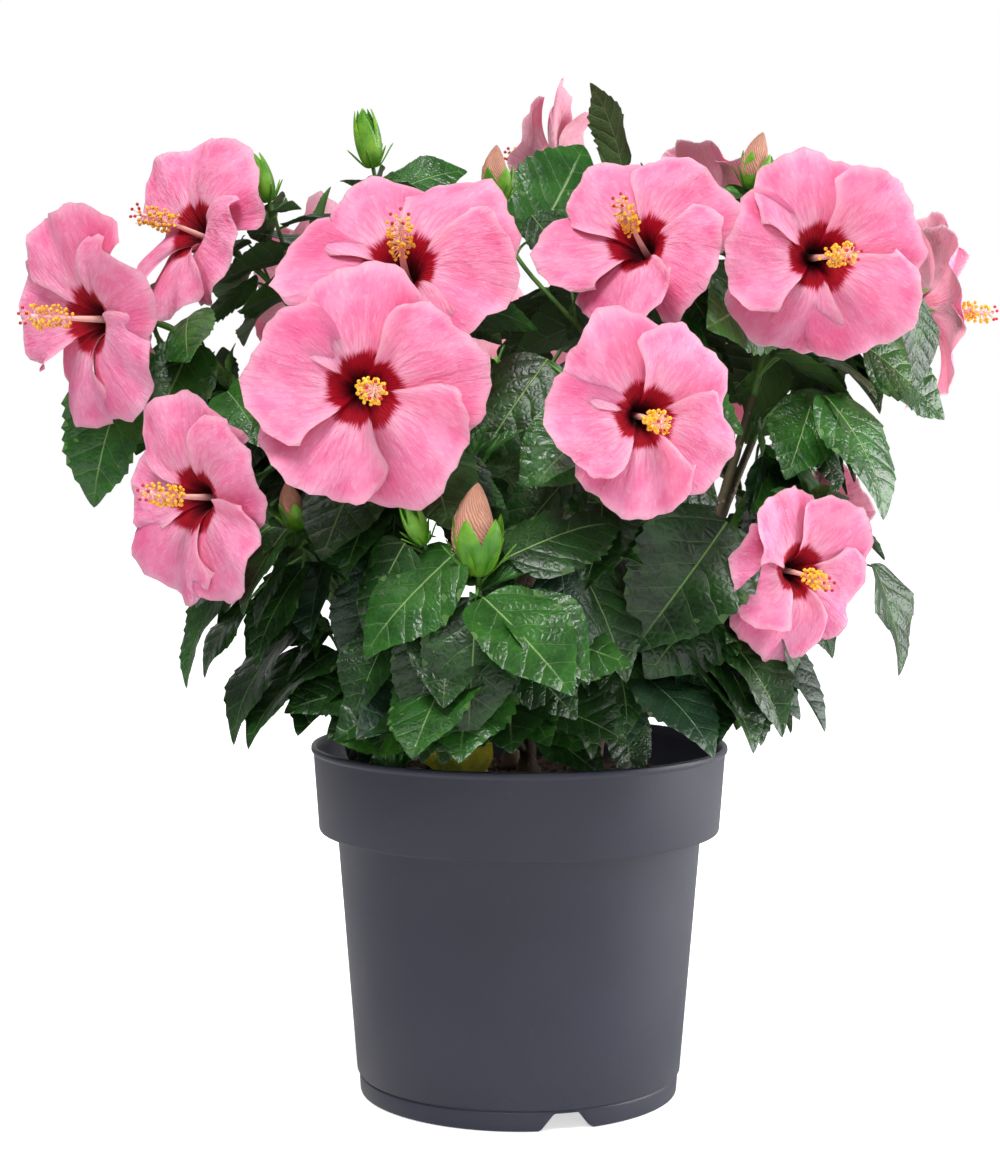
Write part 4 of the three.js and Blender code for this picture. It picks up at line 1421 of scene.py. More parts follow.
@dataclass
class Pot:
    """A moulded nursery pot with a stepped-out collar, a lip, a foot ring with notches, and its compost."""

    height: float = 193.0
    rim_radius: float = 115.0
    lip: float = 2.6
    collar_foot: float = 146.0
    collar_foot_radius: float = 110.7
    body_top_radius: float = 100.7
    foot_radius: float = 88.1
    foot_height: float = 10.5
    wall: float = 2.0
    notch_azimuth: float = 17.0
    notch_mouth: float = 29.0
    notch_top: float = 14.0
    notch_height: float = 9.0
    drains: int = 6
    drain_reach: float = 58.0
    drain_radius: float = 5.0
    soil_top: float = 174.0
    soil_flat: float = 70.0  # radius within which the compost is level
    soil_fall: float = 4.0  # how far it falls from there to the wall
    crumb_count: int = 420

    def wall_radius(self, z: float) -> float:
        """The outer radius of the body at a height."""
        return mix(self.foot_radius + 0.8, self.body_top_radius, z / self.collar_foot)

    def collar_radius(self, z: float) -> float:
        """The outer radius of the collar at a height."""
        share = (z - self.collar_foot) / (self.height - self.collar_foot)
        return mix(self.collar_foot_radius, self.rim_radius - 1, share)

    def notch(self, numbers: Whole, angles: Array) -> Array:
        """How far the foot ring's lower edge is raised: a trapezoid of height h over each third of the turn,
        with h min(1, (mouth - |x|) / (mouth - top)) at the distance x from its middle.

        Args:
            numbers: The profile points' numbers.
            angles: The angles of the turn.

        Returns:
            The height added at each.
        """
        turn = np.radians(self.notch_azimuth - 90)
        third = TURN / 3
        away = np.abs((angles - turn + third / 2) % third - third / 2) * self.foot_radius
        half, top = self.notch_mouth / 2, self.notch_top / 2
        raised = self.notch_height * np.clip((half - away) / (half - top), 0, 1)
        weights = np.zeros(numbers.max() + 1)
        weights[2:8] = 0.94, 1, 1, 1, 1, 0.94  # the points of the ring's lower edge
        return weights[numbers] * raised

    def shell_profile(self) -> Array:
        """The shell's profile from the middle of its underside, out, up, over the lip and down inside.

        Returns:
            Radii and heights.
        """
        h, r, f, step = self.height, self.foot_radius, self.foot_height, self.collar_foot
        body, foot, rim = self.body_top_radius, self.collar_foot_radius, self.rim_radius
        wall, inner, floor = self.wall, self.rim_radius - self.lip, f + self.wall
        under = [(0, f), (r - 4.4, f), (r - 4, f - 0.5), (r - 4, 0.6), (r - 3.6, 0.0), (r - 0.9, 0.0)]
        ring = [(r - 0.2, 0.3), (r + 0.02, 1.0), (r + 0.55, f - 1.1), (r + 0.45, f - 0.5)]
        ring += [(r + 0.1, f - 0.2), (r + 0.1, f + 0.2), (r + 0.7, f + 0.55)]
        side = [(self.wall_radius(z), z) for z in (f + 2, 60, 110, step - 3)]
        side += [(body + 0.5, step - 0.9), (body + 1.8, step - 0.1), (foot - 1.2, step + 0.1)]
        side += [(foot - 0.3, step + 0.4), (foot + 0.05, step + 1.3)]
        side += [(self.collar_radius(z), z) for z in (h - 4.6, h - 3.8)]
        lip = [(rim - 0.25, h - 3.1), (rim, h - 2.4), (rim - 0.1, h - 0.7), (rim - 0.6, h)]
        lip += [(inner + 0.6, h), (inner, h - 0.7)]
        inside = [(self.collar_radius(h - 6) - wall, h - 6), (foot - wall, step + 3.5)]
        inside += [(body - wall, step + 2), (self.wall_radius(floor + 3) - wall, floor + 3)]
        inside += [(self.wall_radius(floor) - wall - 2, floor), (0, floor)]
        return np.array([*under, *ring, *side, *lip, *inside])

    def drill(self, pot: bpy.types.Object) -> None:
        """Cuts the drain holes: the shell less a ring of rods that stand through its floor.

        Args:
            pot: The shell.
        """
        ring = circle(self.drains) * self.drain_reach
        lines = ring[:, None] + UP * (self.foot_height + np.array([-2.0, 1.0, self.wall + 2.0]))[:, None]
        mesh = tubes(lines, np.full(lines.shape[:2], self.drain_radius), sides=32).mesh("drain_rods")
        rods = placed("drain_rods", mesh)
        cut = pot.modifiers.new("drains", "BOOLEAN")
        cut.object, cut.operation, cut.solver = rods, "DIFFERENCE", "EXACT"
        graph = bpy.context.evaluated_depsgraph_get()
        drilled = bpy.data.meshes.new_from_object(pot.evaluated_get(graph))
        pot.modifiers.clear()
        pot.data = drilled
        bpy.data.objects.remove(rods)

    def soil_shape(self) -> Shape:
        """The compost: turned from its profile, with its top heaved by noise in crumbs of 3 to 14 mm.

        Returns:
            The shape.
        """
        floor = self.foot_height + self.wall + 0.3
        edge = self.soil_top - self.soil_fall
        rim = self.collar_radius(edge) - self.wall - 0.6
        top = np.linspace(rim, 0, 60)[1:]
        below = [
            (0, floor),
            (self.wall_radius(floor) - 4.6, floor),
            (self.body_top_radius - 2.8, self.collar_foot + 2.6),
            (self.collar_foot_radius - 3, self.collar_foot + 4.4),
            (rim, edge),
        ]
        fall = mix(self.soil_top, edge, (top - self.soil_flat) / (rim - self.soil_flat))
        heights = np.where(top < self.soil_flat, self.soil_top, fall)
        shape = turned(np.concatenate([np.array(below), np.stack([top, heights], axis=1)]), segments=200)
        points = shape.points
        lift = 1.3 * rumple(points, 14, 5) + 1.0 * np.abs(rumple(points, 5, 6, 11))
        lift += 0.5 * rumple(points, 2.6, 7, 11)
        points[:, 2] += np.where(points[:, 2] > edge - 0.5, lift - 1.2, 0.0)
        return shape

    def crumbs(self) -> Shape:
        """Bits of bark and peat on the compost: short fat tubes lying about at random.

        Returns:
            The shape.
        """
        dice = np.random.default_rng(8)
        count = self.crumb_count
        reach, angle = 104 * np.sqrt(dice.uniform(0, 1, count)), dice.uniform(0, TURN, count)
        drop = np.clip((reach - self.soil_flat) / 38, 0, 1) * self.soil_fall
        middle = np.stack([reach * np.cos(angle), reach * np.sin(angle), self.soil_top + 0.3 - drop], axis=-1)
        way = unit(dice.normal(size=(count, 3)) * [1, 1, 0.25])
        long = dice.uniform(1.5, 5.0, (count, 1, 1))
        steps = np.linspace(-0.5, 0.5, 4)[None, :, None]
        fat = dice.uniform(0.5, 1.6, (count, 1)) * np.array([0.6, 1.0, 0.9, 0.5])
        return tubes(middle[:, None] + way[:, None] * long * steps, fat, sides=5)

    def build(self) -> None:
        """Makes the shell, the compost and its crumbs, dressed, in place of their solids."""
        shell = turned(self.shell_profile(), segments=360, rise=self.notch)
        pot = shell.piece("pot_shell", PotFinish().make("polypropylene_dark_grey"), "pot_plastic")
        self.drill(pot)
        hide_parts("pot")
        peat = CompostFinish().make("peat_compost")
        soil = self.soil_shape().piece("compost_fill", peat, "compost")
        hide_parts("compost")
        bits = CompostFinish("#3a2a1d", "#6b4f37").make("bark_crumbs")
        self.crumbs().piece("compost_crumbs", bits, "compost")


# ---------------------------------------------------------------- wood and leaves


@dataclass
class Wood:
    """The stems and boughs, with bark relief, and the green twigs and leaf stalks."""

    grower: Grower
    stations: int = 40
    sides: int = 20

    def limbs(self, lines: list[Line], flare: float, relief: float) -> Shape:
        """Tapering limbs: the radius is r(s) (1 + flare max(0, 1 - s / 0.16)) (1 + relief n), with n noise of
        about 7 mm and swellings every 16 mm where leaves once stood.

        Args:
            lines: The limbs' lines.
            flare: How much wider the foot is.
            relief: Depth of the relief, as a share of the radius.

        Returns:
            All the limbs as one shape.
        """
        shares = np.linspace(0, 1, self.stations)
        centres = np.stack([line.at(shares) for line in lines])
        radii = np.stack([line.radius(shares) for line in lines])
        radii *= 1 + flare * np.maximum(0, 1 - shares / 0.16)
        places = centres[:, :, None] + circle(self.sides) * 4
        bumps = rumple(places, 7.0, 3, 9) + 0.7 * np.maximum(rumple(centres, 16.0, 4), 0.2)[:, :, None]
        return tubes(centres, radii[..., None] * (1 + relief * bumps), self.sides)

    def stalks(self) -> Shape:
        """Leaf stalks: quadratic curves from the twig to the blade's base, lifted in the middle by a sixth.

        Returns:
            All the stalks as one shape.
        """
        leaves = [*self.grower.leaves, FADED_LEAF, *INNER_LEAVES]
        start, end = np.array([leaf.node for leaf in leaves]), np.array([leaf.base for leaf in leaves])
        inward = np.array([leaf.axis for leaf in leaves]) * 2.0
        span = np.linalg.norm(end - start, axis=-1, keepdims=True)
        lifted = (start + end) / 2 + UP * span / 6
        t = np.linspace(0, 1, 7)[None, :, None]
        ends = end + inward
        centres = (1 - t) ** 2 * start[:, None] + 2 * (1 - t) * t * lifted[:, None] + t**2 * ends[:, None]
        thick = np.array([1.15, 0.9, 0.8, 0.75, 0.75, 0.85, 0.5])
        return tubes(centres, np.tile(thick, (len(leaves), 1)), sides=7)

    def build(self) -> None:
        """Makes the limbs, twigs and stalks, dressed, in place of the solid stems and boughs."""
        grower = self.grower
        bark = BarkFinish().make("hibiscus_bark")
        stems = self.limbs(list(grower.stems.values()), flare=0.7, relief=0.05)
        boughs = self.limbs(grower.boughs, flare=0.0, relief=0.04)
        limbs = Shape.joined([stems, boughs]).piece("stems_and_boughs", bark, "bark")
        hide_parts(*[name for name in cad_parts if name.startswith(("stem_", "bough_"))])
        young = GreenFinish("#5d8a35", "#3c6526").make("green_twig")
        self.limbs(grower.twigs, flare=0.0, relief=0.03).piece("green_twigs", young)
        stalk = GreenFinish("#5f8f3a", "#41702b").make("leaf_stalk")
        self.stalks().piece("leaf_stalks", stalk)


@dataclass
class Leaves:
    """The leaf blades: ovate and drawn out to a tip, with coarse teeth beyond their widest part, folded,
    drooping and curled. Full-grown and young ones differ in how broad and how thick they are."""

    grower: Grower
    teeth: int = 7
    # half width, as a share of the length, and thickness
    full: Way = (0.38, 0.5)
    small: Way = (0.26, 0.4)
    young: Way = (0.2, 0.4)

    def outline(self) -> tuple[Array, Array, Array]:
        """The blade's stations along it, its smooth half width sin(pi u^0.7)^0.64, which narrows towards a
        short drawn-out tip, and how far the teeth change it.

        Returns:
            Stations, half widths from 0 to 1, and the teeth: 1 at a point and -0.5 in the nick beyond it.
        """
        tips = 0.36 + 0.083 * np.arange(self.teeth)
        nicks = tips + 0.016
        stations = np.sort(np.concatenate([[0, 0.015, 0.05, 0.11, 0.18, 0.27], tips, nicks, [0.94, 0.98, 1]]))
        smooth = np.sin(math.pi * stations**0.7) ** 0.64 * (1 - 0.3 * ramp(0.68, 1.0, stations))
        teeth = 1.0 * np.isclose(stations[:, None], tips).any(axis=1)
        teeth -= 0.5 * np.isclose(stations[:, None], nicks).any(axis=1)
        return stations, np.maximum(smooth, 0.012), teeth

    def blade_grids(self, leaves: Sequence[Leaf], half_width: float) -> tuple[Array, Array]:
        """The blades' middle surfaces: base + u L axis + v w L side + lift face. The lift is a fold |v| w,
        less a cupping (v w)^2, waves along the margin, a dip of the side veins, and a droop k u^2 that ends
        in a curl. The foot of the blade reaches back on both sides of the stalk.

        Args:
            leaves: The leaves.
            half_width: Half of the widest breadth, as a share of the length.

        Returns:
            Grids of points, and the places on the pattern.
        """
        dice = np.random.default_rng(21)
        u, smooth, teeth = self.outline()
        v = np.array([-1, -0.82, -0.5, -0.12, 0.12, 0.5, 0.82, 1])
        each = (len(leaves), 1, 1)
        axis, face = np.array([leaf.axis for leaf in leaves]), np.array([leaf.face for leaf in leaves])
        side = np.cross(axis, face)
        base, length = np.array([leaf.base for leaf in leaves]), np.array([leaf.length for leaf in leaves])
        droop, fold = dice.uniform(0.08, 0.22, each), dice.uniform(0.02, 0.2, each)
        cup, wave = dice.uniform(-0.02, 0.12, each), dice.uniform(0.02, 0.06, each)
        phase, sway = dice.uniform(0, 6.28, each), dice.normal(0, 0.06, each)
        curl, jag = dice.uniform(-0.02, 0.12, each), dice.uniform(0.015, 0.065, each)
        broad = half_width * dice.uniform(0.86, 1.12, each)
        u, v = u[None, :, None], v[None, None, :]
        even = smooth[None, :, None]
        width = v * (even + jag * teeth[None, :, None] * (np.abs(v) > 0.99) * even**0.4)
        far = np.abs(width)
        lift = fold * far - cup * far**2 - droop * u**2 - curl * u**5
        lift = lift + wave * np.sin(9 * u + phase + 1.3 * np.sign(v)) * far**2
        lift = lift + 0.007 * np.sin(5.6 * TURN * (u - 0.3 * far)) * far
        sideways = broad * width + sway * u**2
        onward = u - 0.05 * far**1.5 * (1 - ramp(0, 0.3, u))
        scale = length[:, None, None, None]
        grids = base[:, None, None] + scale * (
            onward[..., None] * axis[:, None, None]
            + sideways[..., None] * side[:, None, None]
            + lift[..., None] * face[:, None, None]
        )
        places = np.stack(np.broadcast_arrays(u[0], 0.5 + 0.46 * v[0] * smooth[:, None]), axis=-1)
        return grids[:, ::-1], places[::-1]

    def sheets(self, leaves: Sequence[Leaf], half_width: float, thickness: float) -> Shape:
        """The blades of some leaves as one shape."""
        return blades(*self.blade_grids(leaves, half_width), thickness)

    def tints(self) -> Whole:
        """Deals the tints: deep, mid, dull and fresh, with more deep ones low down as painted shade in the
        lower crown, and fresh ones if small.

        Returns:
            Each leaf's tint number.
        """
        leaves = self.grower.leaves
        chance = np.random.default_rng(33).uniform(0, 1, len(leaves))
        height = np.array([leaf.base[2] for leaf in leaves])
        length = np.array([leaf.length for leaf in leaves])
        # more deep leaves low down: painted shade in the lower crown
        kinds = np.where(chance < 0.5 - (height - 300) / 700, 0, np.where(chance < 0.82, 1, 2))
        return np.where((chance > 0.4) & (chance < 0.62) & (length < 44), 3, kinds)

    def build(self) -> None:
        """Makes the leaves in four tints, dressed, in place of the solid masses, and the few set apart."""
        finishes = {
            "deep": LeafFinish(),
            "mid": LeafFinish("#2c5f1e", "#1a4215", "#8fb36a", "#456a2c", 0.29),
            "dull": LeafFinish("#1f3f24", "#12291b", "#64875a", "#40502f", 0.4),
            "fresh": LeafFinish("#457d2a", "#2b5f1e", "#a0c474", "#678a3c", 0.3),
        }
        kinds = self.tints()
        masses = [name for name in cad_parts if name.startswith(("shoot_", "skirt_"))]
        dressed = {tint: finish.make(f"leaf_{tint}_green") for tint, finish in finishes.items()}
        for kind, (tint, material) in enumerate(dressed.items()):
            leaves = [leaf for leaf, own in zip(self.grower.leaves, kinds) if own == kind]
            piece = self.sheets(leaves, *self.full).piece(f"leaves_{tint}", material)
            if tint == "deep":
                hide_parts(*masses)
        yellow = LeafFinish("#b3a01a", "#6f7d17", "#c9c463", "#8c8434", 0.5).make("leaf_yellowing")
        for name, leaves, size, material in (
            ("leaf_faded", [FADED_LEAF], self.full, yellow),
            ("leaves_inner", INNER_LEAVES, self.full, dressed["deep"]),
            ("leaves_seedling", SEEDLING, self.small, dressed["fresh"]),
            ("leaves_young", self.grower.young, self.young, dressed["mid"]),
        ):
            self.sheets(leaves, *size).piece(name, material)


# ---------------------------------------------------------------- blooms and buds


@dataclass
class Blooms:
    """The open blooms: five overlapping petals, a calyx of five lobes, and a column of stamens."""

    ends: list[End]
    rows: int = 22
    columns: int = 25
    anthers: int = 64
    petal_thickness: float = 0.45
    calyx_thickness: float = 0.7
    thread_radius: float = 0.28
    anther_radius: float = 1.05
    stigma_radius: float = 0.95

    def petals(self, end: End, dice: np.random.Generator) -> tuple[Array, Array]:
        """One bloom's petals, each a surface of s from throat to rim and t across.

        Its reach is R (0.04 + 0.96 s^1.25) times a rim that falls off as |t|^2.2 and is ragged. Its angle
        is 50 t degrees, with sides that sway. Its depth is R (0.5 (1 - e^-5s) - 0.05 s^4), plus a nod and a
        curl of its own, the lift of its leading edge over the last petal, folds and pleats that run out
        along it, and ruffles that grow towards the rim.

        Args:
            end: The bloom.
            dice: Draws for the folds and ruffles.

        Returns:
            Five grids of points, and the places on the pattern.
        """
        radius = end.size / 2
        rows = np.linspace(0, 1, self.rows)
        rows = 0.8 * rows + 0.2 * np.sin(rows * math.pi / 2)
        s, t = lattice(rows, np.linspace(-1, 1, self.columns))
        grids = []
        for petal in range(5):
            a, b, c, d, e, f = dice.uniform(0, TURN, 6)
            size, wide = dice.uniform(0.97, 1.07), dice.uniform(0.95, 1.06)
            nod, curl, skew = dice.normal(0, 0.07), dice.normal(-0.03, 0.07), dice.normal(0, 3)
            fold, crimp = dice.uniform(0.05, 0.12), dice.uniform(0.03, 0.07)
            fall = 0.25 * np.abs(t) ** 2.2 - 0.05 * t
            ragged = 0.04 * np.sin(4.3 * t + a) + 0.022 * np.sin(9 * t + b) + 0.013 * np.sin(24 * t + c)
            reach = radius * size * (0.04 + 0.96 * s**1.25) * (1 - fall * s**1.5 + ragged * s**5)
            sway = 3.5 * np.sin(7.0 * s + a) * np.abs(t) ** 3 * s
            angle = np.radians(88 + end.spin + 72 * petal + skew + t * wide * 50 + sway)
            depth = 0.5 * (1 - np.exp(-5 * s)) - 0.05 * s**4 + nod * s**1.5 + curl * s**3
            depth = depth - 0.12 * t * (0.04 + s**1.5) + 0.08 * ramp(0.7, 1.0, -t) * s * (1.2 - s)
            depth = depth + s**2.2 * (fold * np.sin(2.6 * t + d) + crimp * np.sin(6.5 * t + e))
            depth = depth + s**5 * 0.03 * np.sin(12 * t + f) + 0.003 * s * np.sin(19 * t + b)
            depth = depth - 0.05 * s**7 * t**2
            grids.append(end.spots(reach, angle, radius * depth))
        places = np.stack([s, (t + 1) / 2], axis=-1)
        return np.stack(grids)[:, ::-1], places[::-1]

    def column(self, end: End, dice: np.random.Generator) -> Array:
        """The column's line: out along the bloom's axis, bowed by a share of its square.

        Args:
            end: The bloom.
            dice: Draws for the bow.

        Returns:
            The line's places.
        """
        level, upright = across(end.axis)
        bow = upright * dice.uniform(-0.12, 0.1) + level * dice.normal(0, 0.06)
        s = np.linspace(0, 1, 16)[:, None]
        reach = 0.49 * end.size
        return end.seat + end.axis * reach * s + bow * reach * s**2

    def stamens(self, end: End, line: Array, dice: np.random.Generator) -> tuple[Array, ...]:
        """The stamens stand out all round the outer half of the column on short threads, and five styles fork
        from its tip.

        Args:
            end: The bloom.
            line: The column's line.
            dice: Draws.

        Returns:
            The threads' lines, the anthers' middles, the styles' lines and the stigmas' middles.
        """
        level, upright = across(end.axis)
        share = np.sort(dice.uniform(0.6, 0.97, self.anthers))
        along = np.linspace(0, 1, len(line))
        foot = np.stack([np.interp(share, along, line[:, i]) for i in range(3)], axis=-1)
        angle = np.arange(self.anthers) * 2.4 + dice.normal(0, 0.3, self.anthers)
        out = level * np.cos(angle)[:, None] + upright * np.sin(angle)[:, None] + end.axis * 0.25
        long = 0.05 * end.size * dice.uniform(0.65, 1.15, (self.anthers, 1))
        steps = np.linspace(0, 1, 3)[None, :, None]
        heads = foot + unit(out) * long
        threads = foot[:, None] + (heads - foot)[:, None] * steps
        turn = np.radians(72 * np.arange(5) + 20)
        fork = level * np.cos(turn)[:, None] + upright * np.sin(turn)[:, None] + end.axis * 1.1
        stigmas = line[-1] + unit(fork) * 0.055 * end.size
        styles = line[-1] + (stigmas - line[-1])[:, None] * steps
        return threads, heads, styles, stigmas

    def calyx(self, end: End) -> tuple[Array, Array]:
        """The calyx: five pointed lobes round the throat. A lobe's reach and depth follow the back of the
        petals, and its half width is 37 degrees at its foot and next to nothing at its tip.

        Args:
            end: The bloom.

        Returns:
            Five grids of points, and the places on the pattern.
        """
        radius = end.size / 2
        s, t = lattice(np.linspace(0, 1, 8), np.linspace(-1, 1, 7))
        reach = radius * (0.05 + 0.13 * np.sin(s * 1.5) + 0.05 * s)
        depth = radius * (-0.06 + 0.40 * s) - 0.5
        grids = []
        for lobe in range(5):
            wide = np.radians(37 * (1 - ramp(0.35, 1.0, s) * 0.97))
            angle = np.radians(90 + end.spin + 72 * lobe + 36) + t * wide
            grids.append(end.spots(reach, angle, depth))
        return np.stack(grids), np.stack([s, (t + 1) / 2], axis=-1)

    def beads(self, middles: Array, ways: Array, radius: float) -> Shape:
        """Small round bodies: tubes of four stations whose radii follow a half circle.

        Args:
            middles: Their middles.
            ways: Their axes.
            radius: Their radius.

        Returns:
            All of them as one shape.
        """
        steps = np.array([-0.85, -0.3, 0.3, 0.85])
        centres = middles[:, None] + ways[:, None] * radius * steps[None, :, None]
        radii = np.tile(radius * np.sqrt(1 - steps**2), (len(middles), 1))
        return tubes(centres, radii, sides=6)

    def build(self) -> None:
        """Makes the petals, columns, stamens, stigmas and calyxes, each kind as one piece."""
        dice = np.random.default_rng(5)
        petals, calyxes, columns, organs = [], [], [], []
        for end in self.ends:
            petals.append(blades(*self.petals(end, dice), self.petal_thickness))
            calyxes.append(blades(*self.calyx(end), self.calyx_thickness))
            columns.append(self.column(end, dice))
            organs.append(self.stamens(end, columns[-1], dice))
        threads, heads, styles, stigmas = zip(*organs)
        Shape.joined(petals).piece("petals", PetalFinish().make("hibiscus_petal"))
        green = GreenFinish("#6aa337", "#437f2b").make("calyx_green")
        Shape.joined(calyxes).piece("calyxes", green)
        taper = np.concatenate([np.linspace(0.040, 0.022, 10), np.full(6, 0.020)])
        radii = np.array([taper * end.size / 2 for end in self.ends])
        flesh = ColumnFinish().make("column_flesh")
        tubes(np.stack(columns), radii, sides=12).piece("stamen_columns", flesh)
        lines = np.concatenate(threads + styles)
        pale = PlainFinish("#fbd9c0", "#f2a58e", 0.6).make("filament_cream")
        tubes(lines, np.full(lines.shape[:2], self.thread_radius), sides=4).piece("filaments", pale)
        pollen = PlainFinish("#ffd34a", "#e89a1c", 0.8).make("pollen_yellow")
        ways = np.repeat([end.axis for end in self.ends], self.anthers, axis=0)
        self.beads(np.concatenate(heads), ways, self.anther_radius).piece("anthers", pollen)
        red = PlainFinish("#d92a2c", "#a5141c", 0.55).make("stigma_red")
        tops = np.concatenate(stigmas)
        stigma = self.beads(tops, np.tile(UP, (len(tops), 1)), self.stigma_radius)
        stigma.piece("stigmas", red)


@dataclass
class Buds:
    """The buds: petals rolled into a pointed spindle with spiral ridges, held in a calyx of five broad
    lobes with narrow bracts below. A bud that is still shut shows only its calyx, round a slimmer core."""

    ends: list[End]
    sides: int = 40
    core_girth: float = 0.8
    lobe_thickness: float = 0.6

    @staticmethod
    def flank(s: float | Array) -> float | Array:
        """The rolled petals' radius at a share s of the bud's length: 0.24 sin(pi s^0.7)^0.7 of it."""
        return 0.24 * np.maximum(np.sin(math.pi * np.asarray(s) ** 0.7), 1e-3) ** 0.7

    def spindle(self, end: End, girth: float = 1.0) -> Shape:
        """The rolled petals: the flank's radius, with five ridges that wind a sixth of the way round it.

        Args:
            end: The bud.
            girth: What the radius is multiplied by.

        Returns:
            The spindle.
        """
        s = np.linspace(0.004, 0.996, 30)
        turn = (5 * around(self.sides)[None, :] + 5.0 * s[:, None]) / TURN
        overlap = 0.13 * (turn % 1.0) * ramp(0.1, 0.4, s)[:, None] * (1 - 0.6 * ramp(0.8, 1.0, s))[:, None]
        level, upright = across(end.axis)
        bow = (level * 0.05 + upright * 0.02) * end.size
        line = end.seat + end.axis * end.size * s[:, None] + bow * np.sin(math.pi * s)[:, None]
        radii = end.size * girth * self.flank(s)[:, None] * (0.93 + overlap)
        return tubes(line[None], radii[None], self.sides)

    def lobes(self, end: End, count: int, long: float, wide: float, lean: float, twist: float) -> Shape:
        """Lobes round the bud's foot: each follows the flank a little outside it, and narrows to a point.

        Args:
            end: The bud.
            count: How many lobes.
            long: Their length, as a share of the bud's.
            wide: Their half width at the foot, in degrees.
            lean: How far they stand off at their tips, as a share of the bud's length.
            twist: Where the first one stands, in degrees.

        Returns:
            The lobes as one shape.
        """
        s, t = lattice(np.linspace(0, 1, 12), np.linspace(-1, 1, 9))
        off = 0.015 + lean * s**2 + 0.012 * (1 - np.abs(t)) * s
        reach = end.size * (self.flank(0.02 + s * min(long, 0.5)) + off)
        narrow = np.radians(wide) * np.maximum(np.cos(s * math.pi / 2) ** 0.8, 0.02)
        angle = np.radians(twist + 360 / count * np.arange(count))[:, None, None] + t * narrow
        depth = end.size * (long * s - 0.03)
        places = np.stack([s, (t + 1) / 2], axis=-1)
        return blades(end.spots(reach, angle, depth), places, self.lobe_thickness)

    def build(self) -> None:
        """Makes the rolled petals, the shut buds' cores, the calyx lobes and the bracts."""
        rolled = [self.spindle(end) for end in self.ends if not end.shut]
        salmon = RolledFinish().make("rolled_petal_salmon")
        Shape.joined(rolled).piece("bud_petals", salmon)
        parts = [self.spindle(end, self.core_girth) for end in self.ends if end.shut]
        for end in self.ends:
            long, lean = (1.0, -0.10) if end.shut else (0.66, 0.03)
            parts.append(self.lobes(end, 5, long, wide=52, lean=lean, twist=10))
            parts.append(self.lobes(end, 7, 0.36, wide=10, lean=0.16, twist=30))
        green = GreenFinish("#74a92c", "#42811d", 0.4).make("bud_calyx_green")
        Shape.joined(parts).piece("bud_calyxes", green)


# ---------------------------------------------------------------- the stage


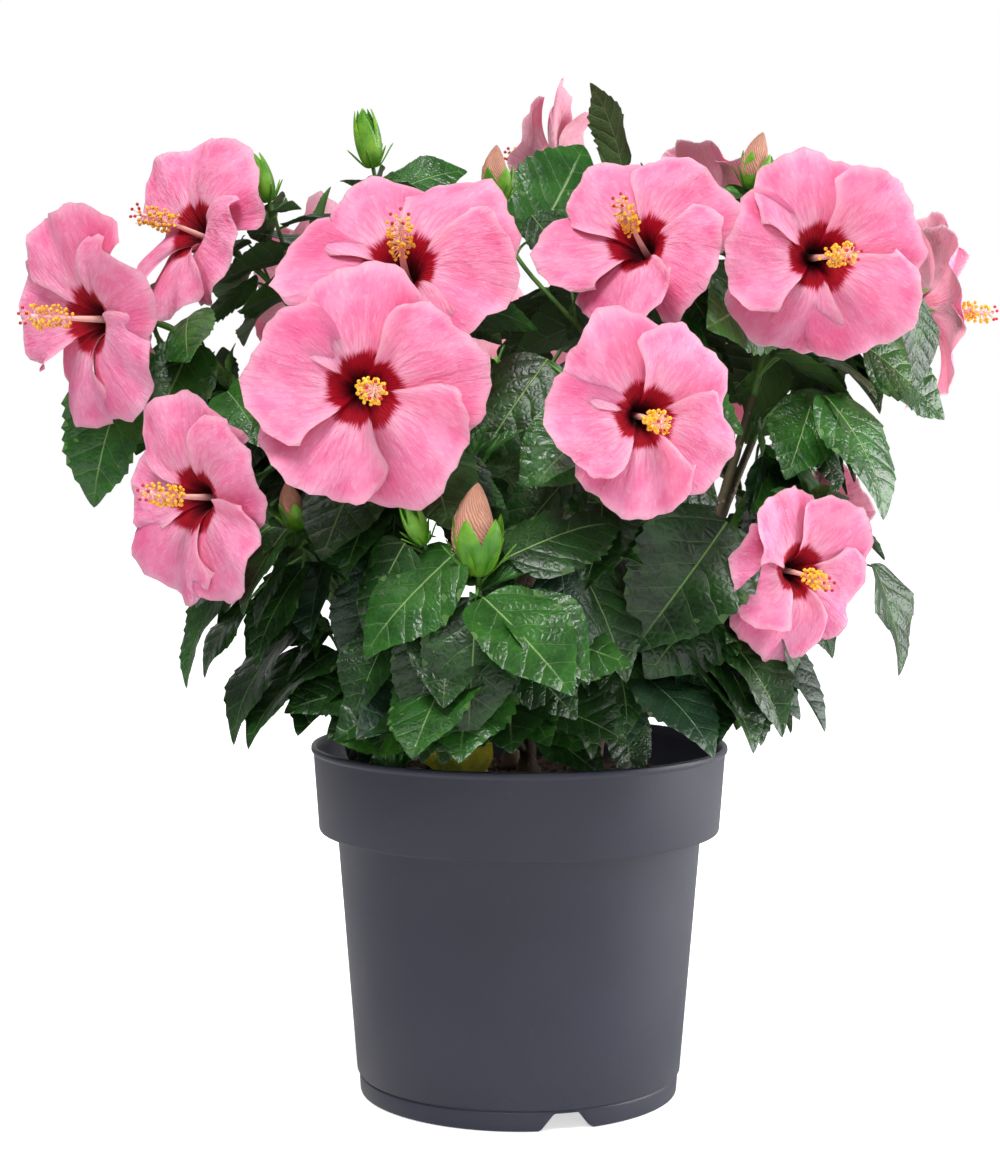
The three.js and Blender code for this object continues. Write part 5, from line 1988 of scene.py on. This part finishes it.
@dataclass
class Studio:
    """The camera, a plain pale floor and soft light."""

    distance: float = 1.2812
    eye: float = 0.3646
    focal: float = 71.7
    pitch: float = 0.0651
    yaw: float = -0.0085
    roll: float = -0.0023
    aim_height: float = 0.32
    floor_radius: float = 9000.0
    dim: float = 0.17

    def camera(self) -> None:
        """Places the camera in front, looking a little down, with a sensor 36 mm high."""
        data = bpy.data.cameras.new("camera")
        data.sensor_fit, data.sensor_height, data.sensor_width, data.lens = "VERTICAL", 36.0, 36.0, self.focal
        data.clip_start, data.clip_end = 0.05, 50.0
        camera = placed("camera", data)
        level = math.cos(self.pitch)
        ahead = Vector((math.sin(self.yaw) * level, math.cos(self.yaw) * level, -math.sin(self.pitch)))
        turn = ahead.to_track_quat("-Z", "Y").to_matrix().to_4x4() @ Matrix.Rotation(-self.roll, 4, "Z")
        camera.matrix_world = Matrix.Translation((0, -self.distance, self.eye)) @ turn
        bpy.context.scene.camera = camera

    def light(self, name: str, place: Place, size: float, power: float) -> None:
        """Adds a soft square lamp aimed at the crown.

        Args:
            name: The lamp's name.
            place: Where it stands, in metres.
            size: Its side, in metres.
            power: Its power, in watts.
        """
        data = bpy.data.lights.new(name, "AREA")
        data.shape, data.size, data.energy = "SQUARE", size, power
        lamp = placed(name, data)
        aim = Vector((0, 0, self.aim_height)) - Vector(place)
        lamp.matrix_world = Matrix.Translation(place) @ aim.to_track_quat("-Z", "Y").to_matrix().to_4x4()

    def floor(self) -> None:
        """Lays the floor, a wide white disc just under the pot. To the eye it pales to white away from it."""
        profile = np.array([(0, -3.0), (self.floor_radius, -3.0), (self.floor_radius, -0.4), (0, -0.4)])
        thing = placed("floor", turned(profile, segments=96).mesh("floor"))
        g = Graph(bpy.data.materials.new("white_floor"))
        away = g.add("VectorMath LENGTH", g.add("TexCoord", out="Object"))
        glow = g.add("MapRange", away, 0.1, 0.7, 0.62, 1.0)
        glow = g.add("*", g.add("LightPath"), glow)
        g.give({"Base Color": "#f4f4f4", "Roughness": 0.9, "Specular IOR Level": 0.1})
        g.give({"Emission Color": "#ffffff", "Emission Strength": glow})
        thing.data.materials.append(g.owner)

    def room(self) -> None:
        """Makes the room: white to the eye, but its light is bright behind the plant and dim all round it, so
        that glossy leaves keep their depth."""
        g = Graph(bpy.data.worlds.new("studio"), "Background")
        ahead = g.add("SeparateXYZ", g.add("TexCoord", out="Generated"), out="Y")
        glow = g.add("MapRange", ahead, 0.78, 0.9, self.dim, 1.0)
        g.give({"Color": "#ffffff", "Strength": g.add("Math MAXIMUM", g.add("LightPath"), glow)})
        bpy.context.scene.world = g.owner

    def build(self) -> None:
        """Sets up the camera, the floor, the lamps and the pale surroundings."""
        self.camera()
        self.floor()
        self.room()
        self.light("key", (-0.35, -1.3, 2.1), size=0.8, power=51)
        self.light("left", (-1.2, 0.2, 2.1), size=0.9, power=7)
        self.light("side", (1.5, 0.1, 0.6), size=1.0, power=28)
        self.light("front", (0.3, -2.3, 1.0), size=1.0, power=10)
        scene = bpy.context.scene
        scene.view_settings.view_transform = "Standard"
        scene.cycles.use_denoising = True
        scene.cycles.max_bounces = 6


def main() -> None:
    """Builds the shrub, its pot and the stage."""
    logging.basicConfig(level=logging.INFO, format="%(message)s")
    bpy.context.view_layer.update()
    Studio().build()
    grower = Grower()
    grower.grow()
    Pot().build()
    Wood(grower).build()
    Leaves(grower).build()
    Blooms(BLOOMS).build()
    Buds(BUDS).build()
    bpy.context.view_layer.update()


if __name__ == "__main__":
    main()
